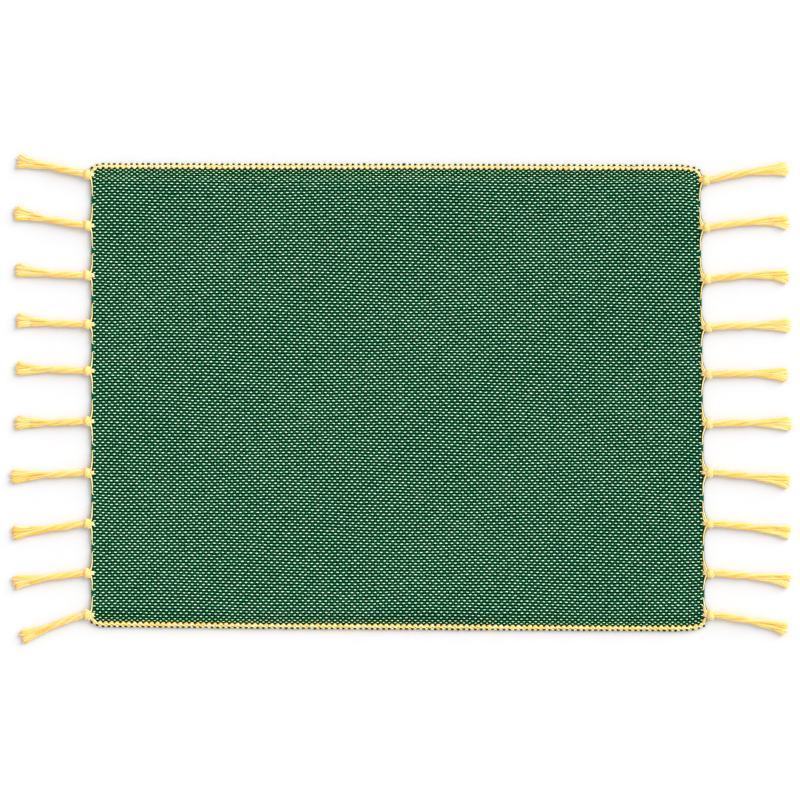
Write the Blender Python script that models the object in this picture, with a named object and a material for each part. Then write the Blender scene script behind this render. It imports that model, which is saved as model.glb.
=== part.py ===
"""Woven table mat with ten knotted tassels at each end.

The cloth lies flat on the plane z = 0 with its warp along X and its weft along Y. The origin is
the middle of its underside. At each end the warp ends are gathered in ten bundles. Each bundle
runs along the cloth's end edge, is tied in an overhand knot and hangs out as a loosely twisted
tassel with a flared, cut end. Lengths are in metres.
"""

import math
import random
from dataclasses import dataclass

import bmesh
import bpy

MM = 0.001

# Cloth: its four edges before the corners are rounded, with how far each swells out halfway.
CLOTH_THICKNESS = 2.2 * MM
CORNER_RADIUS = 5.0 * MM
LEFT_END = {"x_bottom": -217.5 * MM, "x_top": -217.5 * MM, "bow": 0.1 * MM}
RIGHT_END = {"x_bottom": 218.2 * MM, "x_top": 214.7 * MM, "bow": 0.4 * MM}
BOTTOM_EDGE = {"y_left": -163.5 * MM, "y_right": -166.6 * MM, "bow": -0.4 * MM}
TOP_EDGE = {"y_left": 165.3 * MM, "y_right": 164.2 * MM, "bow": 0.1 * MM}
KNOT_PULL = 1.3 * MM                # each knot draws the end edge out by this much
STEPS_PER_GAP = 4                   # straight pieces of the end edge from one knot to the next
CORNER_STEPS = 3                    # straight pieces in each rounded corner
LENGTH_STEPS = 10                   # straight pieces along a long edge
LEVEL_TOLERANCE = 0.001 * MM        # points this close in height are level

# Selvage: three thick warp cords side by side make a low rib along each long edge.
# Columns: distance in from the edge, underside height, top height above the cloth's own top.
SELVAGE_PROFILE = (
    (0.0 * MM, 0.7 * MM, -0.4 * MM),
    (0.6 * MM, 0.0 * MM, 0.5 * MM),
    (1.7 * MM, 0.0 * MM, 0.8 * MM),
    (2.8 * MM, 0.0 * MM, 0.55 * MM),
    (3.4 * MM, 0.0 * MM, 0.0 * MM),
)
SELVAGE_FADE_START = 9.0 * MM       # the rib sinks into the cloth from here to the end
SELVAGE_END_WIDTH = 0.3             # share of the rib's width that is left at the end

# Gather: the warp ends of one bundle, lying on the cloth along its end edge. It is wide beside
# the knot and thins out to a tip at either side.
PIECE_GAP = 0.3 * MM                # air between the cloth and the yarn that lies on it
GATHER_HALF_GAP = 2.3 * MM          # bare edge between two gathers, halved
GATHER_CORNER_MARGIN = 3.0 * MM     # kept between a gather and the cloth's corner
GATHER_TIP_INNER = 1.5 * MM         # how far in from the end edge a tip's inner side lies
GATHER_TIP_OUTER = 0.5 * MM         # how far in from the end edge a tip's outer side lies
GATHER_TIP_TOP = 3.4 * MM           # height of a tip
GATHER_ROOT_INNER = 3.0 * MM        # how far in from the end edge the inner side lies at the knot
GATHER_ROOT_HALF = 1.3 * MM         # half the straight middle, where the knot leaves it
GATHER_ROOT_TOP = 4.3 * MM          # height beside the knot

# Strands: each tassel is a grid of them.
STRANDS_ACROSS = 4
STRANDS_UP = 3
WRAP_TILT = 0.2                     # the knot's wraps lean: metres outwards for each metre across
TIP_SCATTER = 3.0 * MM              # the shortest strands end this far before the longest
RANDOM_SEED = 7

# Where each tassel's knot lies along the end edge, where its cut end lies, and how far its
# middle bows sideways. Columns: number, knot y, tip x, tip y, bow (+ is towards +Y), in mm.
LEFT_TASSELS = (
    (1, 157.2, -270.9, 166.9, 0.7),
    (2, 120.9, -273.0, 130.3, -0.3),
    (3, 85.6, -271.6, 89.8, -0.9),
    (4, 50.9, -271.6, 53.6, -0.4),
    (5, 17.9, -271.6, 19.2, 0.2),
    (6, -17.9, -272.3, -18.5, -0.9),
    (7, -54.5, -275.1, -57.5, 0.0),
    (8, -90.5, -274.4, -97.3, -0.5),
    (9, -125.6, -273.7, -132.4, 0.0),
    (10, -155.2, -268.0, -172.0, 0.2),
)
RIGHT_TASSELS = (
    (1, 153.1, 277.6, 161.2, 1.4),
    (2, 119.6, 278.3, 123.5, 1.8),
    (3, 82.7, 278.3, 84.5, 2.1),
    (4, 48.7, 279.7, 49.7, 0.9),
    (5, 15.6, 277.6, 15.2, 0.6),
    (6, -19.7, 280.5, -19.5, 0.4),
    (7, -54.2, 279.0, -61.0, 0.4),
    (8, -90.5, 279.7, -97.2, 0.6),
    (9, -125.6, 279.7, -131.4, 0.5),
    (10, -155.2, 277.6, -165.6, 0.7),
)


@dataclass(frozen=True)
class HeadRing:
    """One cross-section of a tassel's head: the wraps of its knot, then its neck.

    distance is how far it lies beyond the cloth's end edge, half_width its half size along that
    edge, and bottom and top its heights. tilt is how far it leans outwards for each unit across.
    twist is how far its yarns have turned round the tassel, in degrees.
    """

    distance: float
    half_width: float
    bottom: float
    top: float
    tilt: float
    twist: float


HEAD_RINGS = (
    HeadRing(0.5 * MM, 2.5 * MM, 2.5 * MM, 4.7 * MM, 0.0, 0.0),
    HeadRing(1.5 * MM, 3.5 * MM, 0.1 * MM, 5.4 * MM, WRAP_TILT, 10.0),
    HeadRing(2.4 * MM, 3.1 * MM, 0.3 * MM, 5.1 * MM, WRAP_TILT, 20.0),
    HeadRing(3.2 * MM, 3.7 * MM, 0.0 * MM, 5.6 * MM, WRAP_TILT, 30.0),
    HeadRing(4.0 * MM, 3.2 * MM, 0.2 * MM, 5.2 * MM, WRAP_TILT, 40.0),
    HeadRing(4.8 * MM, 3.3 * MM, 0.1 * MM, 5.1 * MM, WRAP_TILT, 50.0),
    HeadRing(5.8 * MM, 2.2 * MM, 0.3 * MM, 4.2 * MM, 0.0, 60.0),
)


@dataclass(frozen=True)
class StrandRing:
    """One cross-section of the loose strands.

    share is its place from the neck (0) to the cut ends (1), twist is in degrees, and
    fill_across and fill_up say how much of its own cell of the bundle each strand fills.
    roundness is 1 where the bundle is round and 0 where it lies flat and square, and stagger
    is how far each layer of strands is shifted sideways over the one below it.
    """

    share: float
    half_width: float
    height: float
    twist: float
    fill_across: float
    fill_up: float
    roundness: float
    stagger: float


STRAND_RINGS = (
    StrandRing(0.12, 2.75 * MM, 4.9 * MM, 80.0, 0.74, 0.78, 1.0, 0.0),
    StrandRing(0.30, 2.6 * MM, 4.6 * MM, 104.0, 0.72, 0.76, 1.0, 0.0),
    StrandRing(0.47, 2.6 * MM, 4.5 * MM, 128.0, 0.72, 0.74, 1.0, 0.0),
    StrandRing(0.64, 2.8 * MM, 4.3 * MM, 152.0, 0.70, 0.73, 0.9, 0.03),
    StrandRing(0.81, 3.3 * MM, 3.9 * MM, 172.0, 0.63, 0.70, 0.65, 0.1),
    StrandRing(1.00, 4.6 * MM, 3.4 * MM, 180.0, 0.46, 0.68, 0.3, 0.25),
)


@dataclass
class Strand:
    """One strand while it is drawn out.

    face is its newest end, middle the middle of its cell in the bundle's grid from -1 to 1, and
    cut_short how far its cut end lies before the longest one.
    """

    face: bmesh.types.BMFace
    middle: tuple[float, float]
    cut_short: float


# Colours are linear red, green, blue.
GREEN_COTTON = (0.003, 0.088, 0.032)
YELLOW_COTTON = (0.95, 0.66, 0.21)
COTTON_ROUGHNESS = 0.85


def clear_scene() -> None:
    """Remove every object of the scene."""
    for old in list(bpy.data.objects):
        bpy.data.objects.remove(old, do_unlink=True)


def make_material(name: str, color: tuple[float, float, float]) -> bpy.types.Material:
    """Make a matt cotton material of one colour."""
    material = bpy.data.materials.new(name)
    material.use_nodes = True
    shader = material.node_tree.nodes["Principled BSDF"]
    shader.inputs["Base Color"].default_value = (*color, 1.0)
    shader.inputs["Roughness"].default_value = COTTON_ROUGHNESS
    shader.inputs["Metallic"].default_value = 0.0
    material.diffuse_color = (*color, 1.0)
    return material


def mix(start: float, end: float, share: float) -> float:
    """Return the value that lies share of the way from start to end."""
    return start + (end - start) * share


def bowed(start: float, end: float, bow: float, share: float) -> float:
    """Return a straight run from start to end that swells by bow halfway."""
    return mix(start, end, share) + bow * 4.0 * share * (1.0 - share)


def long_edge_y(edge: dict[str, float], x: float) -> float:
    """Return the y of a long edge, bottom or top, at x."""
    share = (x - LEFT_END["x_bottom"]) / (RIGHT_END["x_bottom"] - LEFT_END["x_bottom"])
    return bowed(edge["y_left"], edge["y_right"], edge["bow"], share)


def end_edge_x(side: int, y: float) -> float:
    """Return the x of an end edge at y, drawn out at each knot.

    side is -1 for the left end and 1 for the right end.
    """
    end = LEFT_END if side < 0 else RIGHT_END
    corner = "y_left" if side < 0 else "y_right"
    low, high = BOTTOM_EDGE[corner], TOP_EDGE[corner]
    share = min(1.0, max(0.0, (y - low) / (high - low)))
    straight = bowed(end["x_bottom"], end["x_top"], end["bow"], share)
    knots = knot_heights(side)
    mirrored_low = 2.0 * low - knots[0]
    mirrored_high = 2.0 * high - knots[-1]
    stops = [mirrored_low, *knots, mirrored_high]
    pull = 0.0
    for first, second in zip(stops, stops[1:]):
        if first <= y <= second:
            phase = (y - first) / (second - first)
            pull = KNOT_PULL * math.cos(math.pi * phase) ** 2
    return straight + side * pull


def tassel_rows(side: int) -> tuple:
    """Return the table of tassels of one end."""
    return LEFT_TASSELS if side < 0 else RIGHT_TASSELS


def knot_heights(side: int) -> list[float]:
    """Return the y of each knot of one end, from the lowest to the highest."""
    return sorted(row[1] * MM for row in tassel_rows(side))


def outline_heights(side: int) -> list[float]:
    """Return the y of each outline point of an end edge, with a few from knot to knot."""
    knots = knot_heights(side)
    heights = []
    for first, second in zip(knots, knots[1:]):
        heights += [mix(first, second, step / STEPS_PER_GAP) for step in range(STEPS_PER_GAP)]
    return [*heights, knots[-1]]


@dataclass(frozen=True)
class Station:
    """One cross-section of the cloth.

    share is its place from the left end (0) to the right end (1), and past is its distance
    beyond that place. from_end is how far it lies from the nearer end.
    """

    share: float
    past: float
    from_end: float

    def x_at(self, left_y: float, right_y: float) -> float:
        """Return the x of the point on the line from one end's left_y to the other's right_y."""
        return mix(end_edge_x(-1, left_y), end_edge_x(1, right_y), self.share) + self.past


@dataclass(frozen=True)
class FlatColumn:
    """A line of points over the plain cloth, from left_y on one end to right_y on the other."""

    left_y: float
    right_y: float

    def place(self, station: Station, at_top: bool) -> tuple[float, float, float]:
        """Return the column's point at a cross-section."""
        x = station.x_at(self.left_y, self.right_y)
        y = mix(self.left_y, self.right_y, station.share)
        return (x, y, CLOTH_THICKNESS if at_top else 0.0)


@dataclass(frozen=True)
class SelvageColumn:
    """A line of points that follows a long edge of the cloth.

    side is -1 for the edge towards -Y and 1 for the other. inset is its distance in from that
    edge, underside its lower height, and rise its upper height above the cloth's own top.
    """

    side: int
    inset: float
    underside: float
    rise: float

    def place(self, station: Station, at_top: bool) -> tuple[float, float, float]:
        """Return the column's point at a cross-section, where the rib sinks towards the ends."""
        edge = BOTTOM_EDGE if self.side < 0 else TOP_EDGE
        fade = min(1.0, station.from_end / SELVAGE_FADE_START)
        inset = self.inset * mix(SELVAGE_END_WIDTH, 1.0, fade) + corner_inset(station.from_end)
        edge_y = long_edge_y(edge, station.x_at(edge["y_left"], edge["y_right"]))
        y = edge_y - self.side * inset
        rise = self.rise * fade if self.rise > 0.0 else self.rise
        return (station.x_at(y, y), y, CLOTH_THICKNESS + rise if at_top else self.underside)


def length_stations() -> list[Station]:
    """Return the cloth's cross-sections from left to right, close together in the corners."""
    distances = []
    for step in range(CORNER_STEPS + 1):
        angle = 0.5 * math.pi * (1.0 - step / CORNER_STEPS)
        distances.append(CORNER_RADIUS * (1.0 - math.sin(angle)))
    distances.append(SELVAGE_FADE_START)
    left = [Station(0.0, distance, distance) for distance in distances]
    middle = [Station(step / LENGTH_STEPS, 0.0, math.inf) for step in range(1, LENGTH_STEPS)]
    right = [Station(1.0, -distance, distance) for distance in reversed(distances)]
    return left + middle + right


def corner_inset(distance: float) -> float:
    """Return how far a rounded corner draws a long edge in, at a distance from the end."""
    if distance >= CORNER_RADIUS:
        return 0.0
    return CORNER_RADIUS - math.sqrt(CORNER_RADIUS**2 - (CORNER_RADIUS - distance) ** 2)


def cloth_columns() -> list:
    """Return the columns of the cloth from its lowest y to its highest."""
    bottom = [SelvageColumn(-1, *row) for row in SELVAGE_PROFILE]
    flat = [FlatColumn(*ends) for ends in zip(outline_heights(-1), outline_heights(1))]
    top = [SelvageColumn(1, *row) for row in reversed(SELVAGE_PROFILE)]
    return bottom + flat + top


def build_cloth(material: bpy.types.Material) -> bpy.types.Object:
    """Build the woven cloth: a flat slab with a corded rib along each long edge."""
    columns = cloth_columns()
    stations = length_stations()
    mesh = bmesh.new()
    column_layer = mesh.verts.layers.int.new("column")
    top_layer = mesh.verts.layers.int.new("is_top")
    underside = [mesh.verts.new(column.place(stations[0], False)) for column in columns]
    for index, vert in enumerate(underside):
        vert[column_layer] = index
    edges = [mesh.edges.new(pair) for pair in zip(underside, underside[1:])]
    raised = bmesh.ops.extrude_edge_only(mesh, edges=edges)["geom"]
    for vert in [item for item in raised if isinstance(item, bmesh.types.BMVert)]:
        vert[top_layer] = 1
        vert.co = columns[vert[column_layer]].place(stations[0], True)

    section = list(mesh.faces)
    for station in stations[1:]:
        section = extrude_section(mesh, section, keep_old=station is stations[1])
        for vert in {corner for face in section for corner in face.verts}:
            vert.co = columns[vert[column_layer]].place(station, vert[top_layer] == 1)
    for height in (0.0, CLOTH_THICKNESS):
        level = [face for face in mesh.faces if is_level(face, height)]
        bmesh.ops.dissolve_faces(mesh, faces=level, use_verts=True)
    bmesh.ops.recalc_face_normals(mesh, faces=list(mesh.faces))
    return finish_object("mat", mesh, material)


def is_level(face: bmesh.types.BMFace, height: float) -> bool:
    """Say whether a face lies flat at a height."""
    return all(abs(vert.co.z - height) < LEVEL_TOLERANCE for vert in face.verts)


def extrude_section(mesh: bmesh.types.BMesh, section: list, keep_old: bool) -> list:
    """Extrude the faces of a cross-section and return the new ones.

    The old ones stay only where they close the first end of the body.
    """
    grown = bmesh.ops.extrude_face_region(mesh, geom=section)["geom"]
    if not keep_old:
        bmesh.ops.delete(mesh, geom=section, context="FACES")
    return [item for item in grown if isinstance(item, bmesh.types.BMFace)]


def finish_object(name: str, mesh: bmesh.types.BMesh, material: bpy.types.Material) -> bpy.types.Object:
    """Turn a finished bmesh into a named object of the scene."""
    data = bpy.data.meshes.new(name)
    mesh.to_mesh(data)
    mesh.free()
    data.materials.append(material)
    built = bpy.data.objects.new(name, data)
    bpy.context.scene.collection.objects.link(built)
    return built


class Tassel:
    """One knotted bundle of warp ends, from its gather on the cloth to its cut strands."""

    def __init__(self, side: int, row: tuple, scatter: random.Random) -> None:
        number, knot_y, tip_x, tip_y, bow = row
        side_name = "left" if side < 0 else "right"
        self.name = f"tassel_{side_name}_{number:02d}"
        self.side = side
        self.knot_y = knot_y * MM
        self.edge_x = end_edge_x(side, self.knot_y)
        self.tip = (tip_x * MM, tip_y * MM)
        self.bow = bow * MM
        neck = HEAD_RINGS[-1]
        self.neck = (self.edge_x + side * neck.distance, self.knot_y)
        self.scatter = scatter

    def reach(self, direction: int) -> float:
        """Return how far the gather runs along the end edge towards -Y or +Y."""
        beyond = [
            abs(knot - self.knot_y)
            for knot in knot_heights(self.side)
            if (knot - self.knot_y) * direction > 0.0
        ]
        if beyond:
            return 0.5 * min(beyond) - GATHER_HALF_GAP
        edge = BOTTOM_EDGE if direction < 0 else TOP_EDGE
        corner_y = edge["y_left"] if self.side < 0 else edge["y_right"]
        return abs(corner_y - self.knot_y) - GATHER_CORNER_MARGIN

    def gather_point(self, u: float, v: float, outer: bool) -> tuple[float, float, float]:
        """Return a point of the gather, on the side of it that faces the cloth or the knot.

        u runs along the edge and v upwards, both from -1 to 1. The grid's first and last columns
        are the gather's tips, and the columns between them its straight middle.
        """
        middle_columns = (STRANDS_ACROSS - 2) / STRANDS_ACROSS
        if abs(u) > 0.5 * (1.0 + middle_columns):
            direction = 1 if u > 0.0 else -1
            y = self.knot_y + direction * self.reach(direction)
            inset = GATHER_TIP_OUTER if outer else GATHER_TIP_INNER
            top = GATHER_TIP_TOP
        else:
            y = self.knot_y + u / middle_columns * GATHER_ROOT_HALF
            inset = -PIECE_GAP if outer else GATHER_ROOT_INNER
            top = GATHER_ROOT_TOP
        x = end_edge_x(self.side, y) - self.side * inset
        return (x, y, mix(CLOTH_THICKNESS + PIECE_GAP, top, 0.5 * (v + 1.0)))

    def turned(self, across: float, up: float, twist: float) -> tuple[float, float]:
        """Return a point of a cross-section turned by twist degrees, in the yarns' own sense."""
        angle = -self.side * math.radians(twist)
        return (
            across * math.cos(angle) - up * math.sin(angle),
            across * math.sin(angle) + up * math.cos(angle),
        )

    def head_point(self, u: float, v: float, ring: HeadRing) -> tuple[float, float, float]:
        """Return a point of the knot or neck."""
        across, up = self.turned(*disc(u, v, 1.0), ring.twist)
        lateral = across * ring.half_width
        middle = 0.5 * (ring.bottom + ring.top)
        x = self.edge_x + self.side * ring.distance - ring.tilt * lateral
        return (x, self.knot_y + lateral, middle + up * 0.5 * (ring.top - ring.bottom))

    def spine(self, share: float, cut_short: float) -> tuple:
        """Return the tassel's centre and its sideways direction at a share of its length.

        Both are pairs of x and y. cut_short draws the centre back towards the neck.
        """
        run = (self.tip[0] - self.neck[0], self.tip[1] - self.neck[1])
        length = math.hypot(*run)
        along = (run[0] / length, run[1] / length)
        sideways = (-along[1] * self.side, along[0] * self.side)
        bend = self.bow * 4.0 * share * (1.0 - share)
        travel = share * length - cut_short
        centre = (
            self.neck[0] + along[0] * travel + sideways[0] * bend,
            self.neck[1] + along[1] * travel + sideways[1] * bend,
        )
        return centre, sideways

    def strand_point(self, strand: Strand, corner: tuple, ring: StrandRing) -> tuple:
        """Return the point of a strand's cross-section at one corner of its cell."""
        middle_u, middle_v = strand.middle
        u = mix(middle_u, corner[0], ring.fill_across)
        v = mix(middle_v, corner[1], ring.fill_up)
        across, up = disc(u, v, ring.roundness)
        across, up = self.turned(across + middle_v * ring.stagger, up, ring.twist)
        cut_short = strand.cut_short if ring is STRAND_RINGS[-1] else 0.0
        centre, sideways = self.spine(ring.share, cut_short)
        lateral = across * ring.half_width
        return (
            centre[0] + sideways[0] * lateral,
            centre[1] + sideways[1] * lateral,
            (up + 1.0) * 0.5 * ring.height,
        )

    def build(self, material: bpy.types.Material) -> bpy.types.Object:
        """Build the tassel as one closed body."""
        mesh = bmesh.new()
        u_layer = mesh.verts.layers.float.new("u")
        v_layer = mesh.verts.layers.float.new("v")
        bmesh.ops.create_grid(mesh, x_segments=STRANDS_ACROSS, y_segments=STRANDS_UP, size=1.0)
        for vert in mesh.verts:
            vert[u_layer], vert[v_layer] = vert.co.x, vert.co.y
            vert.co = self.gather_point(vert[u_layer], vert[v_layer], False)
        section = list(mesh.faces)
        placers = [lambda u, v: self.gather_point(u, v, True)]
        placers += [lambda u, v, ring=ring: self.head_point(u, v, ring) for ring in HEAD_RINGS]
        for place in placers:
            section = extrude_section(mesh, section, keep_old=place is placers[0])
            for vert in {corner for face in section for corner in face.verts}:
                vert.co = place(vert[u_layer], vert[v_layer])
        self.grow_strands(mesh, section, u_layer, v_layer)
        bmesh.ops.recalc_face_normals(mesh, faces=list(mesh.faces))
        # Twisted walls fold inwards along this diagonal, which keeps the strands apart.
        diagonal = "ALTERNATE" if self.side < 0 else "FIXED"
        bmesh.ops.triangulate(mesh, faces=list(mesh.faces), quad_method=diagonal)
        return finish_object(self.name, mesh, material)

    def grow_strands(self, mesh: bmesh.types.BMesh, cells: list, u_layer, v_layer) -> None:
        """Draw each face of the neck's end out into a strand of its own."""
        strands = []
        for face in cells:
            middle_u = sum(vert[u_layer] for vert in face.verts) / len(face.verts)
            middle_v = sum(vert[v_layer] for vert in face.verts) / len(face.verts)
            strands.append(Strand(face, (middle_u, middle_v), self.scatter.uniform(0.0, TIP_SCATTER)))
        for ring in STRAND_RINGS:
            for strand in strands:
                grown = bmesh.ops.extrude_discrete_faces(mesh, faces=[strand.face])["faces"][0]
                for vert in grown.verts:
                    vert.co = self.strand_point(strand, (vert[u_layer], vert[v_layer]), ring)
                strand.face = grown
            self.settle([strand.face for strand in strands])

    @staticmethod
    def settle(ends: list) -> None:
        """Lower one cross-section of the strands until its lowest corner is on the plane z = 0."""
        lowest = min(vert.co.z for face in ends for vert in face.verts)
        for vert in {corner for face in ends for corner in face.verts}:
            vert.co.z -= lowest


def disc(u: float, v: float, roundness: float) -> tuple[float, float]:
    """Press a point of the square -1 to 1 into a disc, fully where roundness is 1."""
    across = u * math.sqrt(1.0 - roundness * v * v / 2.0)
    up = v * math.sqrt(1.0 - roundness * u * u / 2.0)
    return across, up


def main() -> None:
    """Build the cloth and its twenty tassels."""
    clear_scene()
    green = make_material("green_cotton", GREEN_COTTON)
    yellow = make_material("yellow_cotton", YELLOW_COTTON)
    build_cloth(green)
    scatter = random.Random(RANDOM_SEED)
    for side in (-1, 1):
        for row in tassel_rows(side):
            Tassel(side, row, scatter).build(yellow)


main()
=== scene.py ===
"""Dress a woven table mat: its weave, its corded selvages and its knotted tassels.

The cloth is a plain weave. Pale yellow warp runs along X and thick green weft along Y, so the
warp shows as small pale dots in staggered rows. Along each long edge three warp cords lie close
together as a yellow band, and the weft turns round the outermost one. At each short end the warp
leaves the cloth, runs along the last pick of weft in bundles, and is knotted into tassels that
end in a flared cut. Lengths are in metres unless a name or comment says otherwise.
"""

import logging
import math
import random
from collections.abc import Iterable, Sequence
from dataclasses import dataclass, field
from enum import Enum

import bmesh
import bpy
import numpy as np
from mathutils import Matrix, Vector


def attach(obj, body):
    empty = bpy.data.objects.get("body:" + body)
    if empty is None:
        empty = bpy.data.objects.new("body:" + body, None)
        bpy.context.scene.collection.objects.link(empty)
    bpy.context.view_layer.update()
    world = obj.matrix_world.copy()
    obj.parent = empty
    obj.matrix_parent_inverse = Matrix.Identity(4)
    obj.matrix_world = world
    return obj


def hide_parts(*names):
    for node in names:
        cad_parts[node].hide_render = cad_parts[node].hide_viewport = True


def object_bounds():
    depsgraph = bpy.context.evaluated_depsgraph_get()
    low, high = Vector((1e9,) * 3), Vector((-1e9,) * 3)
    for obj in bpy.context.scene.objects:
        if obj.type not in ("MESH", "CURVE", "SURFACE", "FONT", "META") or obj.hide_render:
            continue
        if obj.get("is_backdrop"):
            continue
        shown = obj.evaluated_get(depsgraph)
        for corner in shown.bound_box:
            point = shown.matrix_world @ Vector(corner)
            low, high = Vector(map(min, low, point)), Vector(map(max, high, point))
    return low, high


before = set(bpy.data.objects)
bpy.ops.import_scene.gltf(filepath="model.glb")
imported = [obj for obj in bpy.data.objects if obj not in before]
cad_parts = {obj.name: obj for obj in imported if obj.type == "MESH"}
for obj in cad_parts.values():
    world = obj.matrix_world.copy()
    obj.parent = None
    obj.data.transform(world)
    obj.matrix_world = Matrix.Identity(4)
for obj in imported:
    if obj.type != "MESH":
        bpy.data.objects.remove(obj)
CAD_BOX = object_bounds()

LOG = logging.getLogger("table_mat")
MM = 0.001
Color = tuple[float, float, float]
Numbers = float | np.ndarray


class End(Enum):
    """A short end of the cloth. Its value is the sign of X there."""

    LEFT = -1
    RIGHT = 1

    @property
    def share(self) -> float:
        """Return its place along the cloth, 0 at the left and 1 at the right."""
        return 0.0 if self is End.LEFT else 1.0


class LongSide(Enum):
    """A long edge of the cloth. Its value is the sign of Y there."""

    BOTTOM = -1
    TOP = 1


class Face(Enum):
    """A face of the cloth. Its value is the sign of Z there."""

    UNDER = -1
    UPPER = 1


class YarnSystem(Enum):
    """The two sets of yarn that cross in the cloth. Its value is the direction it runs in."""

    WARP = "x"
    WEFT = "y"


class PlyGuide(Enum):
    """What the twist of a yarn's plies follows in its material."""

    ALONG_X = "x"
    ALONG_Y = "y"
    UV = "uv"


def one_each(kind: type[Enum], *values: object) -> dict:
    """Declare a dataclass field that holds one value for each member of an Enum.

    Args:
        kind: The Enum.
        values: The values, in the order of its members.

    Returns:
        The field, whose default is a dict from member to value.
    """
    return field(default_factory=lambda: dict(zip(kind, values, strict=True)))


# --------------------------------------------------------------------------------------------
# Materials
# --------------------------------------------------------------------------------------------


class Signal:
    """A number that varies over a surface. Its operators add Math nodes."""

    def __init__(self, nodes: "NodeBuilder", socket: bpy.types.NodeSocket) -> None:
        """Wrap an output socket of a node."""
        self.nodes = nodes
        self.socket = socket

    def combine(self, operation: str, first: "Signal | float", second: "Signal | float") -> "Signal":
        """Add a Math node on two operands.

        Args:
            operation: The Math node's operation.
            first: Its first operand.
            second: Its second operand.

        Returns:
            The node's result.
        """
        node = self.nodes.add("ShaderNodeMath", {"operation": operation}, {0: first, 1: second})
        return Signal(self.nodes, node.outputs[0])

    def __add__(self, other: "Signal | float") -> "Signal":
        """Add."""
        return self.combine("ADD", self, other)

    def __radd__(self, other: float) -> "Signal":
        """Add, from the right."""
        return self.combine("ADD", other, self)

    def __sub__(self, other: "Signal | float") -> "Signal":
        """Subtract."""
        return self.combine("SUBTRACT", self, other)

    def __rsub__(self, other: float) -> "Signal":
        """Subtract from a number."""
        return self.combine("SUBTRACT", other, self)

    def __mul__(self, other: "Signal | float") -> "Signal":
        """Multiply."""
        return self.combine("MULTIPLY", self, other)

    def __rmul__(self, other: float) -> "Signal":
        """Multiply, from the right."""
        return self.combine("MULTIPLY", other, self)

    def sine(self) -> "Signal":
        """Return its sine."""
        return self.combine("SINE", self, 0.0)

    def within(self, low: float, high: float) -> "Signal":
        """Keep it between two limits."""
        return self.combine("MINIMUM", self.combine("MAXIMUM", self, low), high)


class NodeBuilder:
    """The node tree of one material, with its Principled shader."""

    def __init__(self, name: str) -> None:
        """Make the material.

        Args:
            name: The material's name.
        """
        self.material = bpy.data.materials.new(name)
        self.material.use_nodes = True
        self.tree = self.material.node_tree
        self.shader = self.tree.nodes["Principled BSDF"]

    def feed(self, socket: bpy.types.NodeSocket, value: object) -> None:
        """Link a signal or a socket to an input, or set the input's own value.

        Args:
            socket: The input.
            value: The signal or socket, or a plain value.
        """
        if isinstance(value, Signal):
            self.tree.links.new(value.socket, socket)
        elif isinstance(value, bpy.types.NodeSocket):
            self.tree.links.new(value, socket)
        else:
            socket.default_value = value

    def add(self, kind: str, settings: dict | None = None, sockets: dict | None = None) -> bpy.types.Node:
        """Add a node.

        Args:
            kind: The node's type.
            settings: Its properties, which are set first.
            sockets: Values or links for its inputs, by name or number.

        Returns:
            The node.
        """
        node = self.tree.nodes.new(kind)
        for name, value in (settings or {}).items():
            setattr(node, name, value)
        for key, value in (sockets or {}).items():
            self.feed(node.inputs[key], value)
        return node

    def attribute(self, name: str) -> Signal:
        """Read a number stored on the mesh."""
        node = self.add("ShaderNodeAttribute", {"attribute_name": name})
        return Signal(self, node.outputs["Fac"])

    def axes(self, output: str) -> tuple[Signal, Signal, Signal]:
        """Read the three numbers of a texture coordinate, such as Object or UV.

        Args:
            output: The coordinate's name.

        Returns:
            Its three numbers.
        """
        place = self.add("ShaderNodeTexCoord").outputs[output]
        split = self.add("ShaderNodeSeparateXYZ", sockets={0: place})
        return tuple(Signal(self, socket) for socket in split.outputs)

    def noise(self, scale: float, detail: float) -> Signal:
        """Add noise on Object coordinates.

        Args:
            scale: Cells for each metre.
            detail: Octaves of finer noise.

        Returns:
            The noise, from 0 to 1.
        """
        place = self.add("ShaderNodeTexCoord").outputs["Object"]
        node = self.add("ShaderNodeTexNoise", sockets={"Vector": place, "Scale": scale, "Detail": detail})
        return Signal(self, node.outputs["Fac"])

    def blend_colors(self, first: object, second: object, share: Signal) -> bpy.types.NodeSocket:
        """Mix two colours, each a link or four numbers, by a signal from 0 to 1."""
        node = self.add("ShaderNodeMix", {"data_type": "RGBA"}, {0: share, 6: first, 7: second})
        return node.outputs[2]

    def set_shader(self, **inputs: object) -> None:
        """Set or link inputs of the Principled shader, with _ for a space in their names."""
        for name, value in inputs.items():
            self.feed(self.shader.inputs[name.replace("_", " ")], value)


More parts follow.
